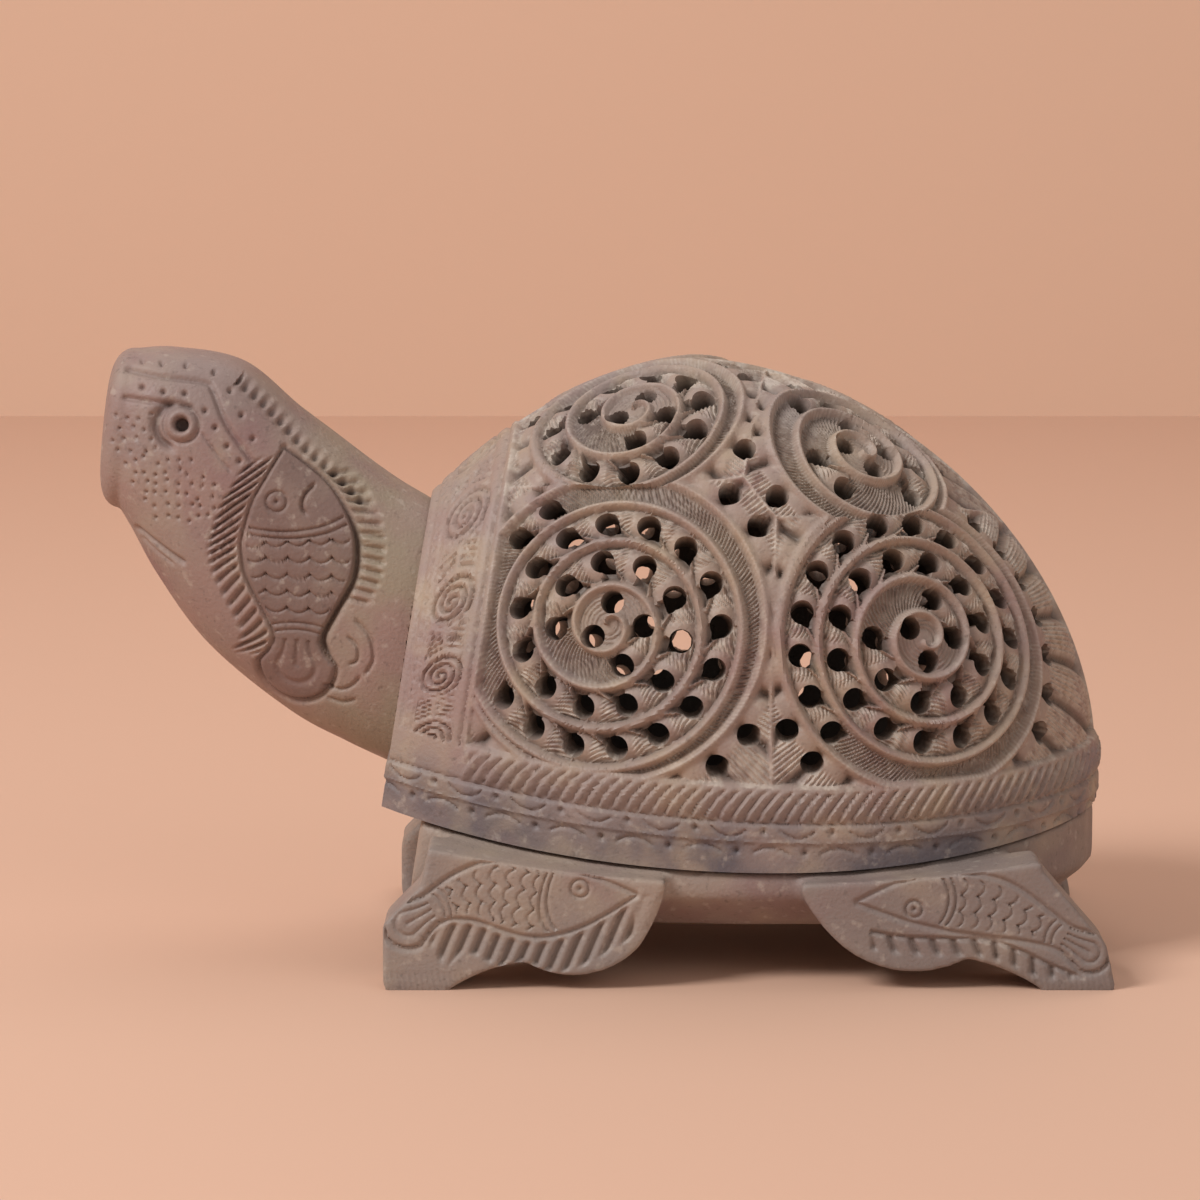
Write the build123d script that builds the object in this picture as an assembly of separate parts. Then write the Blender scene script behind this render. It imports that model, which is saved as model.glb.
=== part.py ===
from build123d import *

# Soapstone tortoise whose openwork shell lifts off its footed base.
# Millimetres, +Z up, head towards -X. The origin lies on the surface that the feet stand on,
# under the middle of the figure.

import os
from math import acos, copysign, cos, hypot, pi, radians, sin, sqrt

# Dome of the shell: reaches are measured from the apex to the ends of the rim
apex_x = 17.0
dome_rear_reach = 81.0
dome_front_reach = 77.0
dome_half_width = 48.0
dome_height = 78.5
widest_offset = 18.0
shell_wall = 6.5
rear_bulge = 1.8
front_bulge = 1.68
side_bulge = 2.35

# Seam between shell and base: an arc that rises towards both ends
seam_low_x = 31.7
seam_low_z = 22.0
seam_radius = 312.0
seam_gap = 0.3

# Bands round the rim, between arcs that are parallel to the top of the rim
rim_low_x = 45.0
rim_height = 16.0
rim_radius = 400.0
rope_height = 6.7
rope_proud = 1.0
dotted_height = 3.1
dotted_proud = 0.5

# Front face of the shell, which carries the neck
front_face_x = -43.0
front_face_height = 12.0
front_lean = 9.0
front_wall = 14.0

# Openwork: drilled holes along one spiral in each medallion, and in the leaves between them
hole_diameter = 4.6
hole_spacing = 8.3
least_hole_spacing = 6.8
spiral_pitch = 7.3
spiral_start = 7.0
medallion_radius = 29.5
chart_radius = 58.0
border_web = 1.2
ring_web = 4.5
strip_width = 13.0
drill_depth = 17.0

# Flats that the carver works each rounded form in
dome_flats = 32
cavity_flats = 14
neck_flats = 16
hole_flats = 5

# Neck and head, with the tenon that seats in the front face
neck_reach = 60.4
neck_rise = 42.0
neck_seat_height = 40.0
neck_height = 26.5
neck_width = 20.0
neck_squareness = 2.5
tenon_radius = 13.0
tenon_length = 9.0
tenon_clearance = 0.1
socket_spare = 0.5

# Eyes, each a raised ring round a drilled pupil: reach and rise are measured from the neck's seat
eye_reach = 45.0
eye_rise = 42.5
eye_spread = 33.6
eye_radius = 3.1
eye_length = 12.0
eye_flats = 10
pupil_radius = 1.55
pupil_depth = 3.0

# Base: skirt under the seam, belly, floor and the lip that centres the shell
skirt_drop = 5.0
skirt_inset = 0.6
front_setback = 8.0
belly_z = 10.0
belly_tuck = 9.0
floor_thickness = 5.0
lip_height = 5.0
lip_width = 4.0
lip_clearance = 0.8

# Legs
leg_spread = 103.0
leg_thickness = 16.0
leg_shoulder_drop = 1.5
front_leg_x = -42.3
front_leg_length = 54.0
front_leg_height = 27.0
hind_leg_x = 37.2
hind_leg_length = 60.0
hind_leg_height = 25.0

# One overrun serves all cuts
overrun = 40.0

rim_z = seam_low_z + rim_height
skirt_z = seam_low_z - skirt_drop
front_face_z = seam_low_z + front_face_height
hole_radius = hole_diameter / 2
near_side = -1
far_side = 1

# Levels of the dome, as shares of its height
dome_level_shares = (0.0, 0.25, 0.45, 0.62, 0.76, 0.87, 0.94, 0.985)
cavity_level_shares = (0.0, 0.35, 0.62, 0.82, 0.95)

# Medallions: shares of the dome's height, of a right angle round it from the tail and of the
# largest medallion's radius, and the hand of the spiral
medallion_shares = (
    (0.395, 1.261, 1.00, 1),
    (0.357, 0.678, 0.98, -1),
    (0.900, 1.389, 0.73, 1),
    (0.800, 0.533, 0.66, -1),
)

# Two holes in the eye of each spiral: shares of its pitch and of a turn
eye_hole_shares = ((0.60, -0.23), (0.51, 0.39))

# Neck stations: shares of the reach, the rise, the height and the width, and the lean in degrees
neck_station_shares = (
    (0.000, 0.000, 1.00, 1.00, front_lean),
    (0.130, 0.100, 1.01, 0.98, 10.5),
    (0.290, 0.245, 1.02, 0.96, 13.6),
    (0.510, 0.500, 0.95, 0.92, 22.0),
    (0.685, 0.775, 0.86, 0.88, 22.7),
    (0.835, 0.920, 0.69, 0.80, 15.0),
    (0.950, 0.975, 0.53, 0.66, 5.0),
    (1.000, 0.985, 0.40, 0.50, 2.0),
)

# Leg outlines: shares of length and height, from the shoulder down and along the sole, then
# the underside as arcs, each from one point through the next to the one after
front_leg_edge_shares = ((0.17, 1.1), (0.135, 0.74), (0.0, 0.467), (0.0, 0.0), (0.233, 0.0))
front_leg_arch_shares = (
    (0.233, 0.0),
    (0.35, 0.125),
    (0.50, 0.20),
    (0.75, 0.125),
    (0.90, 0.30),
    (0.955, 0.49),
    (0.996, 0.726),
)
hind_leg_edge_shares = ((0.763, 1.1), (0.763, 0.92), (0.968, 0.348), (1.0, 0.0), (0.765, 0.0))
hind_leg_arch_shares = (
    (0.765, 0.0),
    (0.66, 0.14),
    (0.525, 0.24),
    (0.29, 0.156),
    (0.12, 0.36),
    (0.055, 0.53),
    (0.0, 0.74),
)
leg_top_share = 1.1


def reach_share(height_share, bulge):
    """Share of a reach that is left at a share of the dome's height."""
    return max(0.0, 1.0 - height_share**bulge) ** (1.0 / bulge)


def dome_section(height_share, inset=0.0):
    """Centre, front reach, rear reach, half width and height of one level of the dome."""
    centre = apex_x + widest_offset * sqrt(max(0.0, 1.0 - height_share**2))
    rear = apex_x + (dome_rear_reach - inset) * reach_share(height_share, rear_bulge)
    front = apex_x - (dome_front_reach - inset) * reach_share(height_share, front_bulge)
    half_width = (dome_half_width - inset) * reach_share(height_share, side_bulge)
    height = rim_z + (dome_height - inset) * height_share
    return centre, centre - front, rear - centre, half_width, height


def dome_point(height_share, angle):
    """Point of the outer surface at a share of the height and an angle round the dome."""
    centre, front, rear, half_width, height = dome_section(height_share)
    reach = rear if cos(angle) > 0 else front
    return Vector(centre + reach * cos(angle), half_width * sin(angle), height)


def dome_normal(height_share, angle):
    """Outward direction of the outer surface there."""
    share_step = 0.01
    angle_step = 0.01
    up = dome_point(height_share + share_step, angle) - dome_point(height_share, angle)
    round_it = dome_point(height_share, angle + angle_step) - dome_point(height_share, angle)
    return round_it.cross(up).normalized()


def is_outside(point):
    """Whether a point lies outside the outer surface of the dome."""
    height_share = (point.Z - rim_z) / dome_height
    if height_share >= 1.0:
        return True
    centre, front, rear, half_width, _ = dome_section(max(0.0, height_share))
    reach = rear if point.X > centre else front
    return ((point.X - centre) / reach) ** 2 + (point.Y / half_width) ** 2 > 1.0


def surface_along(start, direction):
    """Point where a ray from inside leaves the dome."""
    near, far = 0.0, 2 * dome_rear_reach
    for _ in range(30):
        middle = (near + far) / 2
        if is_outside(start + direction * middle):
            far = middle
        else:
            near = middle
    return start + direction * near


def egg_face(centre, front, rear, half_width, height, flats=dome_flats):
    """Level egg outline in flats: two half ellipses that share their widest line."""
    corners = []
    for step in range(flats):
        angle = 2 * pi * (step + 0.5) / flats
        reach = rear if cos(angle) > 0 else front
        corners.append((centre + reach * cos(angle), half_width * sin(angle), height))
    return make_face(Polyline(*corners, close=True))


def plan_face(height, inset=0.0, flats=dome_flats):
    """Plan of the rim, drawn in by inset, at a height."""
    centre, front, rear, half_width, _ = dome_section(0.0, inset)
    return egg_face(centre, front, rear, half_width, height, flats)


def outer_dome():
    """Solid dome in flats, which stands on the level of the skirt."""
    drum = extrude(plan_face(skirt_z), rim_z - skirt_z)
    levels = [egg_face(*dome_section(share)) for share in dome_level_shares]
    return loft(levels, ruled=True) + drum


def cavity():
    """Hollow of the shell, chiselled in broad flats."""
    levels = [dome_section(share, shell_wall) for share in cavity_level_shares]
    drum = extrude(plan_face(skirt_z, shell_wall, cavity_flats), rim_z - skirt_z)
    hollow = loft([egg_face(*level, cavity_flats) for level in levels], ruled=True) + drum
    return hollow - ahead_of_front(front_wall)


def arc_cylinder(low_x, low_z, radius):
    """All that lies above an arc that is lowest at low_x."""
    axis = Plane((low_x, 0, low_z + radius), z_dir=(0, 1, 0))
    return axis * Cylinder(radius, 2 * dome_half_width + 2 * overrun)


def above_seam(lift=0.0):
    """All that lies above the seam, raised by lift."""
    return arc_cylinder(seam_low_x, seam_low_z + lift, seam_radius - lift)


def above_rim(drop):
    """All that lies above the top of the rim, lowered by drop."""
    return arc_cylinder(rim_low_x, rim_z - drop, rim_radius + drop)


def rim_band(drop, height, proud):
    """Band that stands proud of the shell's foot, down from a drop below the rim."""
    ring = extrude(plan_face(skirt_z, -proud), rim_z - skirt_z + rim_height)
    return (ring & above_rim(drop + height)) - above_rim(drop)


def front_plane(depth=0.0):
    """Plane of the leaning front face, moved back into the shell by depth."""
    lean = radians(front_lean)
    outward = Vector(-cos(lean), 0, sin(lean))
    face_point = Vector(front_face_x, 0, front_face_z)
    return Plane(face_point - outward * depth, x_dir=(0, 1, 0), z_dir=outward)


def ahead_of_front(depth=0.0):
    """All that lies in front of the front face, moved back by depth."""
    size = 2 * (apex_x + dome_height + overrun)
    return extrude(front_plane(depth) * Rectangle(size, size), size)


def neck_seat():
    """Plane on the front face at the middle of the neck."""
    lean = radians(front_lean)
    rise = neck_seat_height - front_face_height
    middle = Vector(front_face_x + rise * sin(lean) / cos(lean), 0, front_face_z + rise)
    return Plane(middle, x_dir=(0, 1, 0), z_dir=(-cos(lean), 0, sin(lean)))


def drilled_hole(entry, direction):
    """Prism that a drill would cut from the surface inwards."""
    mouth = Plane(entry + direction * hole_diameter, z_dir=-direction)
    return extrude(mouth * RegularPolygon(hole_radius, hole_flats), hole_diameter + drill_depth)


def spiral_places(radius):
    """Holes along the spiral of one medallion, as distances and turns from its eye outwards."""
    places = [(spiral_pitch * share, turn) for share, turn in eye_hole_shares]
    turn = 0.0
    distance = spiral_start
    while distance < radius - hole_radius - border_web / 2:
        places.append((distance, turn))
        turn += hole_spacing / (2 * pi * distance)
        distance = spiral_start + spiral_pitch * turn
    return places


def leaf_places(radius):
    """Holes in the band of leaves just outside one medallion, as distances and turns."""
    distance = radius + spiral_pitch / 2
    count = round(2 * pi * distance / hole_spacing)
    return [(distance, (step + 0.5) / count) for step in range(count)]


def medallion_chart(height_share, angle_share, radius_share, hand):
    """Focus, three directions, radius and hand of one medallion on the far side."""
    angle = angle_share * pi / 2
    outward = dome_normal(height_share, angle)
    focus = dome_point(height_share, angle) - outward * chart_radius
    along = outward.cross(Vector(0, 0, 1)).normalized()
    upward = along.cross(outward).normalized()
    return focus, outward, along, upward, medallion_radius * radius_share, hand


def chart_direction(chart, distance, turn):
    """Direction of the drill at one place of a medallion."""
    _, outward, along, upward, _, hand = chart
    angle = -hand * turn * 2 * pi
    bend = distance / chart_radius
    sideways = along * cos(angle) + upward * sin(angle)
    return outward * cos(bend) + sideways * sin(bend)


def beyond_ring(chart, point):
    """Distance over the dome from a medallion's ring out to a point."""
    focus, outward, _, _, radius, _ = chart
    cosine = (point - focus).normalized().dot(outward)
    return chart_radius * acos(min(1.0, cosine)) - radius


def clears_borders(point):
    """Whether a hole stays clear of the plain strip at the front and of the rope band."""
    front = front_plane()
    behind = (front.origin - point).dot(front.z_dir)
    above = rim_radius - hypot(point.X - rim_low_x, point.Z - rim_z - rim_radius)
    edge = hole_radius + border_web
    return behind > strip_width + edge and above > edge


def clears_rings(point, others):
    """Whether a hole in the leaves stays clear of the spine and of other medallions."""
    clear = point.Y > hole_radius + border_web
    return clear and all(beyond_ring(chart, point) > ring_web for chart in others)


def clears_holes(point, drilled):
    """Whether a hole stays clear of those that are already drilled."""
    return all((point - hole).length > least_hole_spacing for hole in drilled)


def openwork():
    """All drilled holes, on both sides of the shell."""
    charts = [medallion_chart(*shares) for shares in medallion_shares]
    drilled = []
    holes = []
    for chart in charts:
        focus, radius = chart[0], chart[4]
        others = [other for other in charts if other is not chart]
        spiral = spiral_places(radius)
        for number, place in enumerate(spiral + leaf_places(radius)):
            direction = chart_direction(chart, *place)
            point = surface_along(focus, direction)
            fits = clears_borders(point) and clears_holes(point, drilled)
            if fits and (number < len(spiral) or clears_rings(point, others)):
                drilled.append(point)
                holes.append(drilled_hole(point, direction))
    return holes + [hole.mirror(Plane.XZ) for hole in holes]


def make_carapace():
    """Hollow shell with its rim bands, socket and openwork."""
    body = outer_dome()
    body += rim_band(0, rope_height, rope_proud)
    body += rim_band(rope_height, dotted_height, dotted_proud)
    body -= ahead_of_front()
    body -= cavity()
    body &= above_seam()
    socket_length = tenon_length + socket_spare
    socket = Cylinder(tenon_radius + tenon_clearance, 2 * socket_length)
    body -= neck_seat() * socket
    return body - openwork()


def neck_section(station):
    """Rounded section of the neck at one station."""
    along, up, height_share, width_share, lean_degrees = station
    seat = neck_seat()
    lean = radians(lean_degrees)
    middle = seat.origin + Vector(-neck_reach * along, 0, neck_rise * up)
    plane = Plane(middle, x_dir=(0, 1, 0), z_dir=(-cos(lean), 0, sin(lean)))
    half_height = neck_height * height_share
    half_width = neck_width * width_share
    corners = []
    for step in range(neck_flats):
        angle = 2 * pi * (step + 0.5) / neck_flats
        across = copysign(abs(cos(angle)) ** (2 / neck_squareness), cos(angle))
        above = copysign(abs(sin(angle)) ** (2 / neck_squareness), sin(angle))
        corners.append((half_width * across, half_height * above))
    return plane * make_face(Polyline(*corners, close=True))


def make_head_and_neck():
    """Head and neck in one stone, with the tenon that seats in the shell."""
    body = loft([neck_section(station) for station in neck_station_shares], ruled=True)
    seat = neck_seat()
    body += extrude(seat * Circle(tenon_radius), -tenon_length)
    for side in (near_side, far_side):
        middle = seat.origin + Vector(-eye_reach, side * eye_spread / 2, eye_rise)
        eye = Plane(middle, z_dir=(0, -side, 0))
        body += extrude(eye * RegularPolygon(eye_radius, eye_flats), eye_length)
        body -= extrude(eye * RegularPolygon(pupil_radius, eye_flats), pupil_depth)
    return body


def arc_chain(points):
    """Arcs end to end: each runs from one point through the next to the one after."""
    starts = range(0, len(points) - 2, 2)
    return [ThreePointArc(*points[start : start + 3]).edge() for start in starts]


def leg(edge_shares, arch_shares, start_x, length, height, side):
    """One leg: a slab with a flat sole and an arched underside."""
    edge = [(start_x + length * along, height * up) for along, up in edge_shares]
    arch = [(start_x + length * along, height * up) for along, up in arch_shares]
    top = (arch[-1][0], height * leg_top_share)
    outline = Wire(
        [
            *Polyline(*edge).edges(),
            *arc_chain(arch),
            *Polyline(arch[-1], top, edge[0]).edges(),
        ]
    )
    inner = leg_spread / 2 - leg_thickness
    slab = extrude(Plane.XZ * make_face(outline), leg_thickness)
    slab = slab.moved(Location((0, leg_spread / 2 if side > 0 else -inner, 0)))
    return slab - above_seam(-leg_shoulder_drop)


def make_base():
    """Footed base: skirt, belly, floor, centring lip and four legs."""
    skirt = extrude(plan_face(skirt_z, skirt_inset), rim_z - skirt_z)
    skirt -= above_seam(-seam_gap)
    skirt -= ahead_of_front(front_setback)
    belly = loft([plan_face(belly_z, belly_tuck), plan_face(skirt_z, skirt_inset)])
    belly -= ahead_of_front(front_setback)
    lip_inset = shell_wall + lip_clearance
    lip = extrude(plan_face(skirt_z, lip_inset, cavity_flats), rim_z - skirt_z)
    lip -= above_seam(lip_height)
    lip -= ahead_of_front(front_wall + lip_clearance)
    well_z = belly_z + floor_thickness
    well = extrude(plan_face(well_z, lip_inset + lip_width, cavity_flats), rim_z - belly_z)
    well -= ahead_of_front(front_wall + lip_clearance + lip_width)
    body = skirt + belly + lip
    front = (front_leg_edge_shares, front_leg_arch_shares)
    hind = (hind_leg_edge_shares, hind_leg_arch_shares)
    for side in (near_side, far_side):
        body += leg(*front, front_leg_x, front_leg_length, front_leg_height, side)
        body += leg(*hind, hind_leg_x, hind_leg_length, hind_leg_height, side)
    return body - well


os.makedirs("parts", exist_ok=True)
export_step(make_carapace(), "parts/carapace.step")
export_step(make_head_and_neck(), "parts/head_and_neck.step")
export_step(make_base(), "parts/base.step")
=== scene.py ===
"""Carved soapstone tortoise: openwork shell, head with neck, and footed base, in a plain studio."""

import sys
import logging
import math
from collections.abc import Callable
from dataclasses import dataclass, field
from enum import Enum

import bpy
import numpy as np
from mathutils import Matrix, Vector


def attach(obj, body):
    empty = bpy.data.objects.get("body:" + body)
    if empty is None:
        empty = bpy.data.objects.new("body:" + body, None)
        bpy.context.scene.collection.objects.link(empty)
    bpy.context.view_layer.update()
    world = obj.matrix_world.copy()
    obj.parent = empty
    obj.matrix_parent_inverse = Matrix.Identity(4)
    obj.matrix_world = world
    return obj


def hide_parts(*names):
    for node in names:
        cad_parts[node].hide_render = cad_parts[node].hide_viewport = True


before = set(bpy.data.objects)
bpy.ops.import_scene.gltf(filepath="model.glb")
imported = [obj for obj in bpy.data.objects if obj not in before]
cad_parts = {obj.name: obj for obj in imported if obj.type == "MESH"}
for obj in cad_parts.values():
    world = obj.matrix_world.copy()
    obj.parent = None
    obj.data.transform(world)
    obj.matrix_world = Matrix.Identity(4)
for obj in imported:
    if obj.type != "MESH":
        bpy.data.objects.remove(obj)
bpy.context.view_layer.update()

log = logging.getLogger("tortoise")

MM = 0.001
FULL_TURN = 2.0 * math.pi
SMALL = 1e-9
FAR = 1e9
ON_PLANE = 1e-6
ON_AXIS = 1e-5
WELD_DIGITS = 4
RIDGE_POWER = 2.4
LENGTH_SLACK = 1.45
NEAR_CORNER = 0.22
VALLEY = 0.2
NO_TAIL = 5.0
SHARP_ANGLE = math.radians(50.0)
ASKEW = (0.3, 0.5, 0.8)
MIRROR = np.array((1.0, -1.0, 1.0))

Array = np.ndarray
Colour = tuple[float, float, float]
Route = tuple[tuple[float, ...], ...]
Socket = bpy.types.NodeSocket
Surface = Callable[[Array], Array]
Sizes = Callable[[Array, Array], Array]


def smooth_step(low: float | Array, high: float | Array, value: Array) -> Array:
    """Smooth rise from 0 at low to 1 at high."""
    share = np.clip((value - low) / (high - low), 0.0, 1.0)
    return share * share * (3.0 - 2.0 * share)


def soft_max(first: Array, second: Array, softness: float) -> Array:
    """Larger of two heights, with the valley between them rounded."""
    return 0.5 * (first + second + np.sqrt((first - second) ** 2 + softness**2))


def ridge(distance: Array, half_width: float, depth: float) -> Array:
    """Height of a rounded ridge whose top is at zero, at a distance from its middle line."""
    return -depth * (1.0 - np.exp(-((np.abs(distance) / half_width) ** RIDGE_POWER)))


def groove(distance: Array, half_width: float, depth: float) -> Array:
    """Depth, below zero, of a rounded groove at a distance from its middle line."""
    return -depth * np.exp(-((distance / half_width) ** 2))


def waves(place: Array, pitch: float) -> Array:
    """Even waves between 0 and 1, with a top at zero."""
    return 0.5 + 0.5 * np.cos(FULL_TURN * place / pitch)


def combing(place: Array, pitch: float) -> Array:
    """Share of the full depth of evenly combed lines, with none at zero."""
    return 0.5 - 0.5 * np.cos(FULL_TURN * place / pitch)


def from_middle(place: Array, pitch: float, shift: float = 0.0) -> Array:
    """Distance from the middle of the stretch that a place is in, where stretches repeat."""
    return (np.mod(place / pitch + shift, 1.0) - 0.5) * pitch


def dimple(beside: Array, above: Array, radius: float, depth: float) -> Array:
    """Depth, below zero, of a round pit at distances from its middle in two directions."""
    return -depth * np.exp(-((beside**2 + above**2) / radius**2))


def unit(vectors: Array) -> Array:
    """Vectors of length one."""
    return vectors / np.maximum(np.linalg.norm(vectors, axis=-1, keepdims=True), SMALL)


def beside_path(points: Array, path: Array) -> tuple[Array, Array]:
    """Distance from points in a plane to a path, and how far along the path that is.

    Args:
        points: (n, 2) places.
        path: (m, 2) corners of the path.

    Returns:
        The distance, positive on the left of the path, and the length along it of the nearest place.
    """
    nearest = np.full(len(points), FAR)
    along = np.zeros(len(points))
    run = 0.0
    for start, end in zip(path[:-1], path[1:]):
        step = end - start
        length = float(np.hypot(*step))
        rays = points - start
        share = np.clip((rays @ step) / max(length**2, SMALL), 0.0, 1.0)
        gap = np.hypot(*(rays - share[:, None] * step).T)
        left = step[0] * rays[:, 1] - step[1] * rays[:, 0] > 0
        closer = gap < np.abs(nearest)
        nearest[closer] = np.where(left, gap, -gap)[closer]
        along[closer] = run + share[closer] * length
        run += length
    return nearest, along


def path_length(path: Array) -> float:
    """Length of a path."""
    return float(np.linalg.norm(np.diff(path, axis=0), axis=1).sum())


def pits(points: Array, centres: Array, radius: float, depth: float) -> Array:
    """Depth, below zero, of round pits at centres in a plane."""
    height = np.zeros(len(points))
    for centre in centres:
        close = np.abs(points - centre).max(1) < 3.0 * radius
        away = np.hypot(*(points[close] - centre).T)
        height[close] -= depth * np.exp(-((away / radius) ** 2))
    return height


def curve_through(corners: Route, steps: int = 8) -> Array:
    """Smooth path through corners.

    Args:
        corners: Places that the path passes through.
        steps: Points on each stretch between two corners.

    Returns:
        The points of the path.
    """
    places = np.array(corners, float)
    ends = np.vstack([2 * places[0] - places[1], places, 2 * places[-1] - places[-2]])
    path = []
    for index in range(len(places) - 1):
        before, start, end, after = ends[index : index + 4]
        bend = 2 * before - 5 * start + 4 * end - after
        twist = 3 * start - before - 3 * end + after
        for share in np.arange(steps) / steps:
            path.append(0.5 * (2 * start + (end - before) * share + bend * share**2 + twist * share**3))
    path.append(places[-1])
    return np.array(path)


@dataclass
class Net:
    """Triangles over a surface, each corner given by its place in the surface's own coordinates."""

    places: Array
    triangles: Array

    @classmethod
    def over_rectangle(cls, low: tuple[float, float], high: tuple[float, float], step: float) -> "Net":
        """Net of even triangles over a rectangle.

        Args:
            low: Lowest coordinates.
            high: Highest coordinates.
            step: Side of the squares that are halved.

        Returns:
            The net.
        """
        columns = max(1, round((high[0] - low[0]) / step))
        rows = max(1, round((high[1] - low[1]) / step))
        lines = (np.linspace(low[0], high[0], columns + 1), np.linspace(low[1], high[1], rows + 1))
        across, up = np.meshgrid(*lines)
        number = np.arange((columns + 1) * (rows + 1)).reshape(rows + 1, columns + 1)
        a, b, c, d = number[:-1, :-1], number[:-1, 1:], number[1:, 1:], number[1:, :-1]
        even = (np.add.outer(np.arange(rows), np.arange(columns)) % 2 == 0)[..., None]
        first = np.where(even, np.stack([a, b, c], -1), np.stack([a, b, d], -1))
        second = np.where(even, np.stack([a, c, d], -1), np.stack([b, c, d], -1))
        triangles = np.concatenate([first.reshape(-1, 3), second.reshape(-1, 3)])
        return cls(np.stack([across.ravel(), up.ravel()], -1), triangles)

    def edges(self) -> tuple[Array, Array]:
        """Pairs of corners of each edge, and the three edges of each triangle."""
        sides = np.stack([self.triangles, np.roll(self.triangles, -1, 1)], -1)
        sides = np.sort(sides.reshape(-1, 2), 1)
        keys = sides[:, 0] * (len(self.places) + 1) + sides[:, 1]
        _, first, back = np.unique(keys, return_index=True, return_inverse=True)
        return sides[first], back.reshape(-1, 3)

    def refine(self, surface: Surface, wanted: Sizes, rounds: int) -> None:
        """Halves edges that are longer than wanted until few are left.

        Args:
            surface: Gives the points of places.
            wanted: Gives the wanted edge length from places and points.
            rounds: Most times that edges are halved.
        """
        for _ in range(rounds):
            pairs, sides = self.edges()
            middles = self.places[pairs].mean(1)
            points = surface(self.places)
            length = np.linalg.norm(points[pairs[:, 0]] - points[pairs[:, 1]], axis=1)
            size = wanted(middles, surface(middles))
            corner_size = wanted(self.places, points)[pairs].min(1)
            marked = length > LENGTH_SLACK * np.minimum(size, corner_size)
            longest = sides[np.arange(len(sides)), np.argmax(length[sides], 1)]
            for _ in range(3):
                marked[longest[marked[sides].any(1)]] = True
            if not marked.any():
                break
            self.halve(pairs, sides, marked, middles)

    def halve(self, pairs: Array, sides: Array, marked: Array, middles: Array) -> None:
        """Splits the triangles at the middles of their marked edges.

        Args:
            pairs: Corners of each edge.
            sides: Edges of each triangle.
            marked: Whether each edge is halved.
            middles: Middle place of each edge.
        """
        number = np.full(len(pairs), -1)
        number[marked] = len(self.places) + np.arange(marked.sum())
        self.places = np.vstack([self.places, middles[marked]])
        self.split_at(number[sides])

    def split_at(self, cuts: Array) -> None:
        """Splits triangles at new corners on their edges.

        Args:
            cuts: New corner on each side of each triangle, or -1.
        """
        count = (cuts >= 0).sum(1)
        made = [self.triangles[count == 0]]
        for turn in range(3):
            corners = np.roll(self.triangles, -turn, 1)
            new = np.roll(cuts, -turn, 1)
            one = (count == 1) & (new[:, 0] >= 0)
            a, b, c = corners[one].T
            cut = new[one, 0]
            made += [np.stack([a, cut, c], 1), np.stack([cut, b, c], 1)]
            two = (count == 2) & (new[:, 1] < 0)
            a, b, c = corners[two].T
            first, last = new[two, 0], new[two, 2]
            made += [np.stack([a, first, last], 1), np.stack([first, b, c], 1), np.stack([first, c, last], 1)]
        a, b, c = self.triangles[count == 3].T
        ab, bc, ca = cuts[count == 3].T
        made += [np.stack(t, 1) for t in ((a, ab, ca), (ab, b, bc), (ca, bc, c), (ab, bc, ca))]
        self.triangles = np.vstack(made)

    def cut_along(self, values: Array, keep_all: bool = False) -> None:
        """Cuts the net along the line where values are zero, and keeps where they are positive.

        Args:
            values: One number for each corner.
            keep_all: Keeps both sides, so that the line becomes edges.
        """
        values = values.copy()
        pairs, _ = self.edges()
        low, high = values[pairs[:, 0]], values[pairs[:, 1]]
        crossing = low * high < 0
        share = np.zeros(len(pairs))
        share[crossing] = low[crossing] / (low[crossing] - high[crossing])
        for end, near in ((0, share < NEAR_CORNER), (1, share > 1.0 - NEAR_CORNER)):
            leaves_plane = np.abs(self.places[pairs[:, end], 1]) < SMALL
            leaves_plane &= np.abs(self.places[pairs[:, 1 - end], 1]) >= SMALL
            chosen = np.nonzero(crossing & near & ~leaves_plane)[0]
            moved, first = np.unique(pairs[chosen, end], return_index=True)
            edge = pairs[chosen[first]]
            part = share[chosen[first], None]
            free = values[moved] != 0
            target = self.places[edge[:, 0]] * (1 - part) + self.places[edge[:, 1]] * part
            self.places[moved[free]] = target[free]
            values[moved[free]] = 0.0
        pairs, sides = self.edges()
        low, high = values[pairs[:, 0]], values[pairs[:, 1]]
        crossing = low * high < 0
        number = np.full(len(pairs), -1)
        number[crossing] = len(self.places) + np.arange(crossing.sum())
        part = (low[crossing] / (low[crossing] - high[crossing]))[:, None]
        new = self.places[pairs[crossing, 0]] * (1 - part) + self.places[pairs[crossing, 1]] * part
        self.places = np.vstack([self.places, new])
        values = np.concatenate([values, np.zeros(crossing.sum())])
        self.split_at(number[sides])
        if not keep_all:
            self.triangles = self.triangles[values[self.triangles].sum(1) > 0]
        self.drop_unused()

    def drop_unused(self) -> None:
        """Drops corners that no triangle uses."""
        used, back = np.unique(self.triangles, return_inverse=True)
        self.places = self.places[used]
        self.triangles = back.reshape(-1, 3)


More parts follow.
